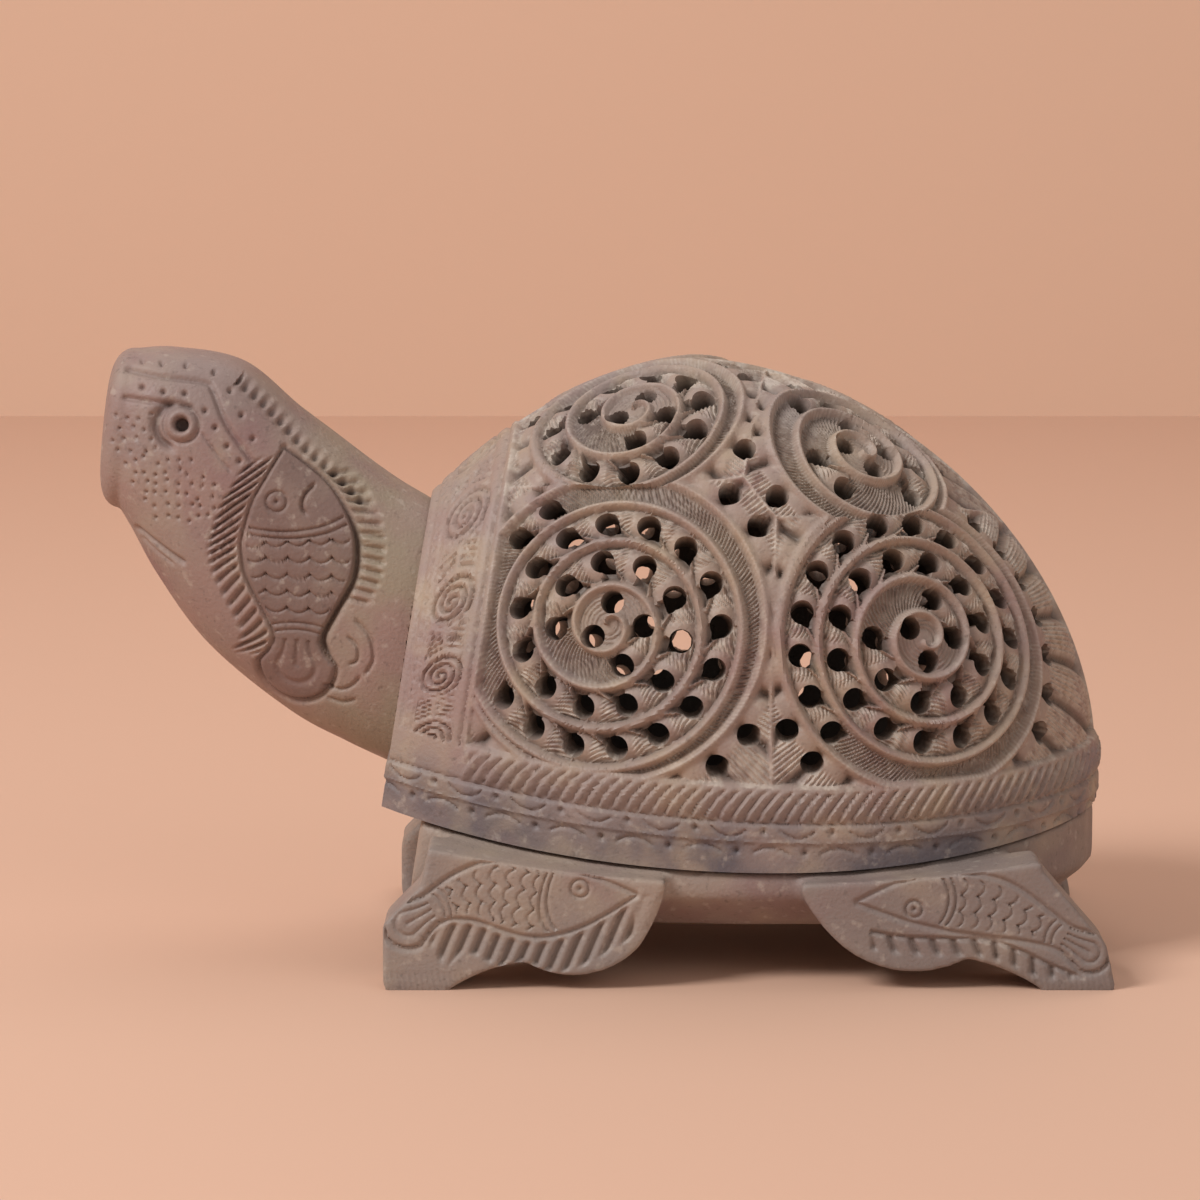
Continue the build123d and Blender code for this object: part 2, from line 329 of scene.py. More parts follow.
@dataclass
class Stone:
    """Closed or open shell of triangles in millimetres."""

    points: Array
    triangles: Array
    shades: dict[str, Array] = field(default_factory=dict)

    @classmethod
    def welded(cls, points: Array, triangles: Array) -> tuple["Stone", Array]:
        """Stone whose points that lie in one place are one, without the triangles that this empties.

        Args:
            points: Points, some of them in one place.
            triangles: Triangles between them.

        Returns:
            The stone, and the number that each of its points had.
        """
        rounded = np.round(points, WELD_DIGITS)
        _, first, back = np.unique(rounded, axis=0, return_index=True, return_inverse=True)
        triangles = back.ravel()[triangles]
        a, b, c = triangles.T
        return cls(points[first], triangles[(a != b) & (b != c) & (c != a)]), first

    def ease(self, rounds: int) -> None:
        """Rounds the edges off, by drawing each point towards its neighbours."""
        starts, ends = self.directed_edges()
        size = len(self.points)
        count = np.bincount(starts, minlength=size)
        for _ in range(rounds):
            totals = [np.bincount(starts, column[ends], size) for column in self.points.T]
            self.points += 0.5 * (np.stack(totals, -1) / count[:, None] - self.points)

    def carve(self, height: Array, deepest: float = 2.5) -> None:
        """Moves the points along their normals, and records how deep each is carved, up to the deepest
        hollow, as its share of painted shade.
        """
        self.points = self.points + self.normals() * height[:, None]
        self.shades["hollow"] = np.clip(-height / deepest, 0.0, 1.0)

    def directed_edges(self) -> tuple[Array, Array]:
        """Start and end of each side of each triangle."""
        return self.triangles.ravel(), np.roll(self.triangles, -1, 1).ravel()

    def off_plane(self) -> Array:
        """Whether each point lies off the middle plane."""
        return np.abs(self.points[:, 1]) >= ON_PLANE

    def for_both_halves(self, values: Array) -> Array:
        """Values of this half's points, with those of their mirror images after them."""
        return np.concatenate([values, values[self.off_plane()]])

    def mirrored(self) -> "Stone":
        """Both halves of a stone whose points lie on one side of the middle plane, welded there."""
        off = self.off_plane()
        self.points[~off, 1] = 0.0
        number = np.arange(len(self.points))
        number[off] = len(self.points) + np.arange(off.sum())
        other = self.points[off] * MIRROR
        flipped = number[self.triangles][:, ::-1]
        return Stone(np.vstack([self.points, other]), np.vstack([self.triangles, flipped]))

    def normals(self) -> Array:
        """Outward direction at each point, from the faces round it."""
        corners = self.points[self.triangles]
        faces = np.cross(corners[:, 1] - corners[:, 0], corners[:, 2] - corners[:, 0])
        total = np.zeros_like(self.points)
        for corner in range(3):
            np.add.at(total, self.triangles[:, corner], faces)
        return unit(total)

    def open_edges(self) -> tuple[Array, Array]:
        """Start and end of each side that only one triangle has."""
        starts, ends = self.directed_edges()
        alone = ~np.isin(starts * len(self.points) + ends, ends * len(self.points) + starts)
        return starts[alone], ends[alone]

    def part_pinches(self) -> None:
        """Gives each fan of faces its own point where two openings touch at one."""
        found, times = np.unique(self.open_edges()[0], return_counts=True)
        for point in found[times > 1]:
            rows = np.nonzero((self.triangles == point).any(1))[0].tolist()
            fans = []
            while rows:
                fan, edge = [rows.pop()], True
                while edge:
                    rim = set(self.triangles[fan].ravel().tolist()) - {point}
                    joined = [row for row in rows if rim & set(self.triangles[row].tolist())]
                    fan += joined
                    rows = [row for row in rows if row not in joined]
                    edge = bool(joined)
                fans.append(fan)
            for fan in fans[1:]:
                faces = self.triangles[fan]
                self.triangles[fan] = np.where(faces == point, len(self.points), faces)
                self.points = np.vstack([self.points, self.points[point]])
                self.shades = {name: np.append(values, values[point]) for name, values in self.shades.items()}

    def open_loops(self) -> list[Array]:
        """Loops of points round the openings, each in the direction of its faces' edges."""
        self.part_pinches()
        starts, ends = self.open_edges()
        following = dict(zip(starts.tolist(), ends.tolist()))
        loops = []
        while following:
            first, point = following.popitem()
            loop = [first]
            while point != first:
                loop.append(point)
                point = following.pop(point)
            loops.append(np.array(loop))
        return loops


def bridge(points: Array, first: Array, second: Array, origin: Array, axis: Array) -> Array:
    """Strip of triangles between two loops that go round one axis.

    Args:
        points: All points.
        first: Loop of point numbers, in the direction of its own faces' edges.
        second: Other loop, in the opposite direction round the axis.
        origin: Point on the axis.
        axis: Direction of the axis.

    Returns:
        Triangles whose edges run against those of both loops' faces.
    """
    side = unit(np.cross(axis, ASKEW))
    other = np.cross(axis, side)

    def unrolled(loop: Array) -> tuple[Array, Array]:
        """Loop that starts at its lowest angle and runs to rising ones, with those angles."""
        rays = points[loop] - origin
        angles = np.unwrap(np.arctan2(rays @ other, rays @ side))
        if angles[-1] < angles[0]:
            loop, angles = loop[::-1], angles[::-1]
        angles = angles - FULL_TURN * np.floor(angles[0] / FULL_TURN)
        start = int(np.searchsorted(angles, FULL_TURN)) % len(loop)
        turned = np.concatenate([angles[start:] - FULL_TURN, angles[:start]]) if start else angles
        return np.roll(loop, -start), np.maximum.accumulate(turned)

    rays = points[first] - origin
    rising = np.unwrap(np.arctan2(rays @ other, rays @ side))
    forward = rising[-1] > rising[0]
    a, a_angle = unrolled(first)
    b, b_angle = unrolled(second)
    i = j = 0
    strip = []
    while i < len(a) or j < len(b):
        next_a = a_angle[i + 1] if i + 1 < len(a) else (a_angle[0] + FULL_TURN if i < len(a) else np.inf)
        next_b = b_angle[j + 1] if j + 1 < len(b) else (b_angle[0] + FULL_TURN if j < len(b) else np.inf)
        here, there = a[i % len(a)], b[j % len(b)]
        if next_a <= next_b:
            strip.append((a[(i + 1) % len(a)], here, there))
            i += 1
        else:
            strip.append((here, there, b[(j + 1) % len(b)]))
            j += 1
    triangles = np.array(strip)
    return triangles if forward else triangles[:, ::-1]


class Hand(Enum):
    """Which way a medallion's spiral opens."""

    FRONT = 1
    REAR = -1


@dataclass
class EggDome:
    """Smooth form of the shell: egg-shaped levels, a leaning front face and an arched seam."""

    inset: float = 0.0
    front_depth: float = 0.0
    apex_x: float = 17.0
    rear_reach: float = 81.0
    front_reach: float = 77.0
    half_width: float = 48.0
    height: float = 78.5
    widest_offset: float = 18.0
    rear_bulge: float = 1.8
    front_bulge: float = 1.68
    side_bulge: float = 2.35
    rim_z: float = 38.0
    drum_scale: float = 105.0
    seam_x: float = 31.7
    seam_z: float = 22.0
    seam_radius: float = 312.0
    face_x: float = -43.0
    face_z: float = 34.0
    face_lean: float = math.radians(9.0)
    core: tuple[float, float, float] = (0.0, 0.0, 48.0)
    net_reach: float = 1.4

    @property
    def outward(self) -> Array:
        """Direction that the front face looks in."""
        return np.array((-math.cos(self.face_lean), 0.0, math.sin(self.face_lean)))

    def section(self, level: Array) -> tuple[Array, Array, Array, Array]:
        """Centre, front reach, rear reach and half width at shares of the height."""
        level = np.clip(level, 0.0, 1.0)

        def reach(full: float, bulge: float) -> Array:
            """What is left at the level of a reach at the rim."""
            return (full - self.inset) * (1.0 - level**bulge) ** (1 / bulge)

        centre = self.apex_x + self.widest_offset * np.sqrt(1.0 - level**2)
        rear = self.apex_x + reach(self.rear_reach, self.rear_bulge)
        front = self.apex_x - reach(self.front_reach, self.front_bulge)
        return centre, centre - front, rear - centre, reach(self.half_width, self.side_bulge)

    def round_points(self, level: Array, angle: Array) -> Array:
        """Points of the dome at shares of its height and angles round it."""
        centre, front, rear, width = self.section(level)
        reach = np.where(np.cos(angle) > 0, rear, front)
        height = self.rim_z + (self.height - self.inset) * level
        return np.stack([centre + reach * np.cos(angle), width * np.sin(angle), height], -1)

    def ahead(self, points: Array) -> Array:
        """Distance of points ahead of the front face."""
        origin = np.array((self.face_x, 0.0, self.face_z)) - self.outward * self.front_depth
        return (points - origin) @ self.outward

    def round_of(self, places: Array) -> Array:
        """Points of the egg form at net places, before the front face cuts it."""
        radius = np.hypot(places[:, 0], places[:, 1])
        angle = np.arctan2(places[:, 1], places[:, 0])
        points = self.round_points(np.cos(0.5 * math.pi * np.minimum(radius, 1.0)), angle)
        points[:, 2] -= self.drum_scale * np.maximum(radius - 1.0, 0.0)
        points[np.abs(places[:, 1]) < SMALL, 1] = 0.0
        return points

    def points_of(self, places: Array) -> Array:
        """Points at net places: the dome above, a drum below, and the front face in front."""
        points = self.round_of(places)
        ahead = self.ahead(points)
        core = np.array(self.core)
        inside = -self.ahead(core[None])[0]
        share = np.where(ahead > 0, inside / (inside + np.maximum(ahead, 0.0)), 1.0)
        return core + (points - core) * share[:, None]

    def above_seam(self, points: Array) -> Array:
        """Distance of points above the seam."""
        aside = points[:, 0] - self.seam_x
        return self.seam_radius - np.hypot(aside, points[:, 2] - self.seam_z - self.seam_radius)

    def half_net(self, step: float) -> Net:
        """Net over the near half, cut at the seam, with edges along the rim of the front face.

        Args:
            step: Side of the first squares, as a share of the dome's arc.

        Returns:
            The net.
        """
        net = Net.over_rectangle((-self.net_reach, -self.net_reach), (self.net_reach, 0.0), step)
        net.cut_along(self.ahead(self.round_of(net.places)), keep_all=True)
        net.cut_along(self.above_seam(self.points_of(net.places)))
        return net


@dataclass
class Medallion:
    """Round field of openwork with holes along one spiral."""

    level: float
    degrees_round: float
    radius: float
    hand: Hand
    chart_radius: float = 58.0
    spiral_start: float = 7.0
    pitch: float = 7.3
    spacing: float = 8.3
    eye_tuck: float = 1.4
    upper_eye: tuple[float, float] = (4.4, -0.23)
    lower_eye: tuple[float, float] = (3.7, 0.39)
    tuck_turn: float = 0.85
    tuck_width: float = 0.35
    end_margin: float = 0.6
    spare_cells: int = 40
    ring_drilled: Array = field(init=False)
    turns: Array = field(init=False)
    middle: Array = field(init=False)
    outward: Array = field(init=False)
    along: Array = field(init=False)
    upward: Array = field(init=False)

    @property
    def free_count(self) -> int:
        """Number of places for holes in the band of leaves just outside the ring."""
        return round(FULL_TURN * (self.radius + 0.5 * self.pitch) / self.spacing)

    def free_places(self) -> list[tuple[float, float]]:
        """Polar places of the holes in that band."""
        distance = self.radius + 0.5 * self.pitch
        return [(distance, (index + 0.5) / self.free_count) for index in range(self.free_count)]

    def settle(self, dome: EggDome, hole_radius: float) -> None:
        """Works out the chart's directions and the places of the holes along the spiral.

        Args:
            dome: Surface that carries the medallion.
            hole_radius: Radius of the drilled holes.
        """
        angle = math.radians(self.degrees_round)
        step = 0.01
        levels = np.array((self.level, self.level + step, self.level))
        corners = dome.round_points(levels, np.array((angle, angle, angle + step)))
        self.middle = corners[0]
        self.outward = unit(np.cross(corners[2] - corners[0], corners[1] - corners[0]))
        self.along = -unit(np.cross((0.0, 0.0, 1.0), self.outward))
        self.upward = unit(np.cross(self.along, self.outward))
        turns, turn = [], 0.0
        while self.centre_line(turn) < self.radius - hole_radius - self.end_margin:
            turns.append(turn)
            turn += self.spacing / (FULL_TURN * self.centre_line(turn))
        self.turns = np.array(turns)

    def centre_line(self, turn: float | Array) -> float | Array:
        """Radius of the line of holes after a number of turns."""
        return self.spiral_start + self.pitch * turn

    def vine_line(self, turn: Array) -> Array:
        """Radius of the vine inside the line of holes, drawn in round the eye."""
        even = self.spiral_start + self.pitch * (turn - 0.5)
        return even - self.eye_tuck * np.exp(-(((turn - self.tuck_turn) / self.tuck_width) ** 2))

    def band(self, distance: Array, turn: Array) -> Array:
        """Whole turns of the vine inside each polar place."""
        wound = np.floor((distance - self.vine_line(0.0)) / self.pitch - turn)
        for _ in range(2):
            too_many = distance < self.vine_line(wound + turn)
            too_few = distance >= self.vine_line(wound + turn + 1.0)
            wound = wound - too_many + too_few
        return np.maximum(wound, -1.0)

    def run(self, turn: Array) -> Array:
        """Length along the line of holes after a number of turns."""
        return FULL_TURN * (self.spiral_start * turn + 0.5 * self.pitch * turn**2)

    def polar(self, points: Array) -> tuple[Array, Array]:
        """Distance from the middle along the surface, and the turn in the spiral's sense.

        Args:
            points: Points on the near side.

        Returns:
            Distance, and turn from 0 to 1.
        """
        rays = unit(points * MIRROR - (self.middle - self.outward * self.chart_radius))
        distance = self.chart_radius * np.arccos(np.clip(rays @ self.outward, -1.0, 1.0))
        angle = np.arctan2(rays @ self.upward, rays @ self.along)
        return distance, np.mod(-self.hand.value * angle / FULL_TURN, 1.0)

    def ray(self, distance: float, turn: float) -> tuple[Array, Array]:
        """Focus of the chart and the direction from it to a polar place, on the near side."""
        angle = -self.hand.value * turn * FULL_TURN
        bend = distance / self.chart_radius
        sideways = self.along * math.cos(angle) + self.upward * math.sin(angle)
        direction = self.outward * math.cos(bend) + sideways * math.sin(bend)
        return (self.middle - self.outward * self.chart_radius) * MIRROR, direction * MIRROR

    def cells(self, run: Array) -> tuple[Array, Array, Array]:
        """Cells between holes that places on the line of holes lie in.

        Args:
            run: Length along the line to each place.

        Returns:
            Number of the hole before it, distance from that hole, and length of the cell.
        """
        stops = self.run(self.turns)
        stops = np.concatenate([stops, stops[-1] + np.arange(1, self.spare_cells) * self.spacing])
        number = np.clip(np.searchsorted(stops, run, side="right") - 1, 0, len(stops) - 2)
        return number, run - stops[number], stops[number + 1] - stops[number]

    def hole_places(self) -> list[tuple[float, float]]:
        """Polar places of the holes, from the eye outwards."""
        along_spiral = [(float(self.centre_line(turn)), float(turn)) for turn in self.turns]
        return [self.upper_eye, self.lower_eye] + along_spiral


@dataclass(frozen=True)
class LeafCell:
    """Relief of one leaf between two holes, in the band between an inner and an outer vine."""

    hole_radius: float = 2.3
    vine_half_width: float = 1.1
    ring_half_width: float = 1.3
    vine_depth: float = 3.2
    stem_half_width: float = 0.6
    stem_drop: float = 0.2
    stem_fall: float = 0.9
    fork_gap: float = 1.2
    tip_gap: float = 0.3
    most_rise: float = 1.25
    edge_start: float = 0.25
    edge_share: float = 0.36
    edge_power: float = 1.35
    outer_gap: float = 0.75
    least_span: float = 0.5
    crotch_depth: float = 3.8
    leaf_drop: float = 0.55
    leaf_crown: float = 1.45
    leaf_dip: float = 0.5
    dip_fade: tuple[float, float] = (1.2, -0.4)
    edge_fade: tuple[float, float] = (0.2, -0.5)
    softness: float = 0.25
    petal_depth: float = 2.0
    petal_droop: float = 0.6
    petal_fade: tuple[float, float] = (2.6, 4.0)
    petal_side_fade: tuple[float, float] = (0.85, 0.6)
    comb_pitch: float = 0.86
    comb_depth: float = 0.5
    comb_reach: float = 3.2
    comb_sweep: float = 0.30
    comb_inner_fade: tuple[float, float] = (0.1, 0.7)
    comb_outer_fade: tuple[float, float] = (0.75, 1.35)
    tail_back: float = 3.3
    tail_in: float = 1.9
    tail_share: float = 0.86
    tail_power: float = 0.9

    def carve(self, back: Array, length: Array, across: Array, width: Array) -> tuple[Array, Array, Array]:
        """Height, comb weight and distance outside the hole's tail.

        Args:
            back: Distance behind the hole ahead.
            length: Distance between that hole and the next.
            across: Distance from the inner vine's middle.
            width: Distance between the two vines' middles.

        Returns:
            Height below the vines' tops, weight of the combing, and distance outside the tail.
        """
        inner = ridge(across, self.vine_half_width, self.vine_depth)
        outer = ridge(width - across, self.vine_half_width, self.vine_depth)
        fork = length - self.fork_gap
        tip = self.hole_radius + self.tip_gap
        rise = np.clip((fork - back) / (fork - tip), 0.0, self.most_rise)
        edge = self.edge_start + (self.edge_share * width - self.edge_start) * rise**self.edge_power
        beyond = across - edge
        stem_top = -self.stem_drop - self.stem_fall * np.clip(rise, 0, 1)
        stem = stem_top + ridge(beyond, self.stem_half_width, self.crotch_depth)
        stem = np.where(back > fork, -self.crotch_depth, stem)
        span = np.maximum(width - self.outer_gap - edge, self.least_span)
        crown = np.sin(math.pi * np.clip(beyond / span, 0.0, 1.0))
        dip_start, dip_end = self.dip_fade
        dip = self.leaf_dip * smooth_step(tip + dip_start, tip + dip_end, back)
        leaf = -self.leaf_drop - self.leaf_crown * (1.0 - crown) - dip
        leaf = leaf - self.crotch_depth * smooth_step(*self.edge_fade, beyond)
        height = soft_max(stem, leaf, self.softness)
        height = soft_max(height, soft_max(inner, outer, VALLEY), self.softness)
        sweep = across - self.comb_sweep * np.maximum(back - tip, 0.0) ** 1.5
        weight = smooth_step(tip + self.comb_reach, tip + 0.5 * self.comb_reach, back)
        weight = weight * smooth_step(*self.comb_inner_fade, beyond)
        weight = weight * smooth_step(*self.comb_outer_fade, width - across)
        height = height - self.comb_depth * weight * combing(sweep, self.comb_pitch)
        return height, weight, self.outside_tail(back, 0.5 * width - across)

    def outside_tail(self, back: Array, aside: Array) -> Array:
        """Distance outside the tail that is cut from a hole, back and towards the inner vine."""
        slope = math.hypot(self.tail_back, self.tail_in)
        share = (back * self.tail_back + aside * self.tail_in) / slope / slope
        off = (back * self.tail_in - aside * self.tail_back) / slope
        narrowing = self.tail_share * self.hole_radius * np.clip(1.0 - share, 0.0, 1.0) ** self.tail_power
        return np.where((share > 0) & (share < 1.0), np.abs(off) - narrowing, NO_TAIL)

    def petal(self, back: Array, length: Array, across: Array) -> tuple[Array, Array]:
        """Height and comb weight of a plain leaf that stands on a ring, between two holes.

        Args:
            back: Distance along the ring from the hole before.
            length: Distance between the two holes.
            across: Distance outside the ring's middle.

        Returns:
            Height below the ring's top, and weight of the combing.
        """
        aside = np.abs(2.0 * back / length - 1.0)
        droop = self.petal_droop * self.leaf_crown * aside**2
        leaf = -self.leaf_drop - droop - self.petal_depth * aside**6
        weight = smooth_step(*self.petal_fade, across) * smooth_step(*self.petal_side_fade, aside)
        leaf = leaf - self.comb_depth * weight * combing(back - 0.5 * length, self.comb_pitch)
        ring = ridge(across, self.ring_half_width, self.vine_depth)
        return soft_max(leaf, ring, self.softness), weight


@dataclass(frozen=True)
class Rope:
    """Rope band at the top of the rim, cut into curved strands."""

    height: float = 6.7
    proud: float = 0.85
    pitch: float = 2.55
    slant: float = 1.1
    curve: float = 0.055
    cut_depth: float = 0.95
    cut_power: float = 1.5
    long_side: float = 0.72
    top_fade: tuple[float, float] = (0.1, 1.2)
    foot_fade: tuple[float, float] = (0.0, 0.8)

    def carve(self, run: Array, below: Array) -> Array:
        """Height at lengths round the rim and distances below its top."""
        middle = 0.5 * self.height
        swell = 1.0 - np.abs((below - middle) / middle) ** 3
        phase = np.mod((run + self.slant * below - self.curve * below**2) / self.pitch, 1.0)
        ends = smooth_step(*self.top_fade, below) * smooth_step(*self.foot_fade, self.height - below)
        strand = np.minimum(phase / self.long_side, (1.0 - phase) / (1.0 - self.long_side))
        return self.proud * np.clip(swell, 0.0, 1.0) - self.cut_depth * strand**self.cut_power * ends


@dataclass(frozen=True)
class DottedBands:
    """Two bands below the rope, each with a row of dots and a swag between each two of them.

    Each row is its distance down, its shift and the bend of its swags.
    """

    height: float = 3.6
    proud: float = 0.4
    top_line: tuple[float, float] = (0.35, 0.4)
    raised_line: tuple[float, float] = (0.28, 0.45)
    dot_pitch: float = 13.0
    dot_radius: float = 0.55
    dot_depth: float = 1.1
    swag_rise: float = 1.2
    swag_sag: float = 1.7
    swag_reach: float = 3.6
    swag_line: tuple[float, float] = (0.32, 0.5)
    swag_fade: tuple[float, float] = (4.0, 3.2)
    rows: tuple[tuple[float, float, float], ...] = ((1.5, 0.0, 1.0), (5.5, 0.4, -0.7))

    def carve(self, height: Array, run: Array, lower: Array) -> Array:
        """Adds the bands to a height.

        Args:
            height: Height so far.
            run: Length round the rim.
            lower: Distance below the rope band.

        Returns:
            The height with the bands.
        """
        swell = self.proud * (1.0 - np.abs(lower / (0.5 * self.height) - 1.0) ** 4)
        height = np.where((lower >= 0) & (lower < self.height), swell, height)
        height = height + groove(lower, *self.top_line) - groove(lower - self.height, *self.raised_line)
        for row, shift, bend in self.rows:
            beside = from_middle(run, self.dot_pitch, shift)
            height = height + dimple(beside, lower - row, self.dot_radius, self.dot_depth)
            beside = from_middle(run, self.dot_pitch, shift + 0.5)
            arc = row + bend * (self.swag_rise - self.swag_sag * (beside / self.swag_reach) ** 2)
            fade = smooth_step(*self.swag_fade, np.abs(beside))
            height = height + groove(lower - arc, *self.swag_line) * fade
        return height


@dataclass(frozen=True)
class Scroll:
    """Carving of the strip behind the front face: spirals, ferns between them, lines and dots."""

    centre_z: float = 40.0
    mean_radius: float = 48.0
    pitch: float = 16.0
    shift: float = 0.2
    squeeze: float = 0.85
    turn_pitch: float = 1.45
    line_share: float = 0.2
    line_depth: float = 1.0
    radius_fade: tuple[float, float] = (4.5, 3.9)
    front_lines: Route = ((1.3, 0.3, 0.35), (3.4, 0.25, 0.3))
    rear_lines: Route = ((1.0, 0.35, 0.6), (3.2, 0.25, 0.3))
    dot_place: float = 2.35
    dot_pitch: float = 2.6
    dot_radius: float = 0.34
    dot_depth: float = 0.55
    tick_pitch: float = 1.35
    tick_slant: float = 0.45
    tick_depth: float = 0.6
    fern_start: tuple[float, float] = (4.7, 5.3)
    fern_edge: tuple[float, float] = (3.6, 3.0)
    fern_stem: tuple[float, float] = (0.2, 0.5)
    bare_edge: float = 0.3

    def carve(self, points: Array, depth: Array, width: float) -> Array:
        """Height of the carving.

        Args:
            points: Points of the shell.
            depth: Their distance behind the front face.
            width: Width of the strip.

        Returns:
            The height at each point.
        """
        run = np.arctan2(points[:, 2] - self.centre_z, -points[:, 1]) * self.mean_radius
        height = 0.0
        for front, rear in zip(self.front_lines, self.rear_lines):
            height = height + groove(depth - front[0], *front[1:])
            height = height + groove(depth - width + rear[0], *rear[1:])
        beside = from_middle(run, self.dot_pitch)
        dots = dimple(beside, depth - self.dot_place, self.dot_radius, self.dot_depth)
        beside = from_middle(run, self.pitch)
        up = depth - 0.5 * width - self.shift
        radius = np.hypot(self.squeeze * beside, up)
        spiral = np.mod(radius / self.turn_pitch - np.arctan2(up, beside) / FULL_TURN, 1.0) - 0.5
        lines = groove(spiral, self.line_share, self.line_depth) * smooth_step(*self.radius_fade, radius)
        up = np.abs(up)
        ticks = waves(beside + self.tick_slant * up, self.tick_pitch) ** 2
        fern = smooth_step(*self.fern_start, radius) * smooth_step(*self.fern_edge, up)
        fern = fern * smooth_step(*self.fern_stem, up)
        return np.where(depth > self.bare_edge, height + dots + lines - self.tick_depth * ticks * fern, 0.0)


@dataclass
class OpenworkShell:
    """Hollow shell: eight medallions of pierced leaves, a scrolled front strip and rim bands."""

    body: str = "shell"
    node: str = "carapace"
    slot: str = "shell_stone"
    wall: float = 6.5
    front_wall: float = 14.0
    hole_radius: float = 2.3
    strip_width: float = 14.0
    rim_x: float = 45.0
    rim_radius: float = 400.0
    least_apart: float = 6.8
    drill_margin: float = 1.2
    ring_margin: float = 0.9
    ray_span: tuple[float, float] = (20.0, 90.0)
    ray_steps: int = 1401
    drill_reach: float = 14.0
    loop_reach: float = 20.0
    seam_middle: tuple[float, float, float] = (20.0, 0.0, 22.0)
    first_step: float = 0.02
    lining_step: float = 0.03
    rounds: int = 7
    lining_rounds: int = 3
    fine: float = 0.31
    medium: float = 0.6
    coarse: float = 1.1
    strip_size: float = 0.6
    rim_size: float = 0.47
    lining_size: float = 1.3
    bands_reach: float = 2.2
    least_comb: float = 0.05
    deepest: float = 3.5
    tint_depth: float = 14.0
    border_vine: tuple[float, float] = (0.9, 2.6)
    border_margin: float = 1.2
    between_vine: tuple[float, float] = (0.7, 3.0)
    between_drop: float = 0.7
    spine_vine: tuple[float, float] = (0.8, 3.0)
    spine_drop: float = 0.3
    least_width: float = 0.8
    full_width: tuple[float, float] = (3.4, 5.0)
    tail_width: float = 5.0
    hatch_vine: tuple[float, float] = (1.0, 2.8)
    hatch_floor: float = 1.6
    hatch_depth: float = 0.5
    hatch_slant: float = 0.7
    hatch_fade: tuple[float, float] = (1.6, 2.6)
    hatch_comb: float = 0.7
    start_floor: float = 2.1
    eye_inner_vine: tuple[float, float] = (0.8, 2.4)
    eye_outer_vine: tuple[float, float] = (0.9, 2.4)
    pad_floor: float = 1.3
    pad_depth: float = 0.3
    pad_start: float = 1.5
    eye_comb: float = 0.2
    floor_softness: float = 0.3
    leaf: LeafCell = LeafCell()
    rope: Rope = Rope()
    dotted: DottedBands = DottedBands()
    scroll: Scroll = Scroll()
    medallions: tuple[Medallion, ...] = (
        Medallion(0.395, 113.5, 29.5, Hand.FRONT),
        Medallion(0.357, 61.0, 29.0, Hand.REAR),
        Medallion(0.900, 125.0, 21.5, Hand.FRONT),
        Medallion(0.800, 48.0, 19.5, Hand.REAR),
    )

    def __post_init__(self) -> None:
        """Settles the surfaces, the medallions and the holes."""
        self.outer = EggDome()
        self.inner = EggDome(inset=self.wall, front_depth=self.front_wall)
        for medallion in self.medallions:
            medallion.settle(self.outer, self.hole_radius)
        self.rim_angles = np.linspace(-math.pi, 0.0, 721)
        rim = self.outer.round_points(np.zeros(len(self.rim_angles)), self.rim_angles)
        steps = np.linalg.norm(np.diff(rim, axis=0), axis=1)
        self.rim_run = np.concatenate([[0.0], np.cumsum(steps)])
        self.holes = self.hole_axes()

    def below_rim(self, points: Array) -> Array:
        """Distance of points below the top of the rim."""
        centre_z = self.outer.rim_z + self.rim_radius
        return np.hypot(points[:, 0] - self.rim_x, points[:, 2] - centre_z) - self.rim_radius

    def hole_axes(self) -> Array:
        """Point and direction of each hole's axis on the near side.

        Returns:
            (n, 2, 3) array of surface points and outward directions.
        """
        axes = []
        for medallion in self.medallions:
            ring_places = medallion.hole_places()
            drilled = []
            for index, (distance, turn) in enumerate(ring_places + medallion.free_places()):
                focus, direction = medallion.ray(distance, turn)
                point = self.leaves_at(focus, direction)
                in_ring = index < len(ring_places)
                drilled.append(point is not None and self.may_drill(medallion, point, in_ring, axes))
                if drilled[-1]:
                    axes.append((point, direction))
            eyes = len(ring_places) - len(medallion.turns)
            medallion.ring_drilled = np.array(drilled[eyes : len(ring_places)] + [False])
        return np.array(axes)

    def leaves_at(self, focus: Array, direction: Array) -> Array | None:
        """Point where a ray from inside leaves the dome, or none."""
        along = focus + direction * np.linspace(*self.ray_span, self.ray_steps)[:, None]
        level = (along[:, 2] - self.outer.rim_z) / self.outer.height
        centre, front, rear, width = self.outer.section(level)
        reach = np.where(along[:, 0] > centre, rear, front)
        with np.errstate(divide="ignore", invalid="ignore"):
            out = ((along[:, 0] - centre) / reach) ** 2 + (along[:, 1] / width) ** 2
        outside = (out > 1) | (level >= 1)
        return along[int(np.argmax(outside))] if outside.any() else None

    def may_drill(
        self, owner: Medallion, point: Array, in_ring: bool, axes: list[tuple[Array, Array]]
    ) -> bool:
        """Whether a hole keeps clear of the others, of the borders and of other medallions.

        Args:
            owner: Medallion that the hole belongs to.
            point: Place of the hole.
            in_ring: Whether it is inside the medallion's ring.
            axes: Points and directions of the holes so far.

        Returns:
            Whether it keeps clear.
        """
        spot = point[None]
        clear = self.hole_radius + self.drill_margin
        if any(np.linalg.norm(point - other) <= self.least_apart for other, _ in axes):
            return False
        if -self.outer.ahead(spot)[0] < self.strip_width + clear - 1.0:
            return False
        if self.below_rim(spot)[0] > -clear:
            return False
        if in_ring:
            return True
        if point[1] > -clear:
            return False
        for medallion in self.medallions:
            distance = medallion.polar(spot)[0][0] - medallion.radius
            if medallion is not owner and distance < 0.5 * owner.pitch + self.ring_margin:
                return False
        return True

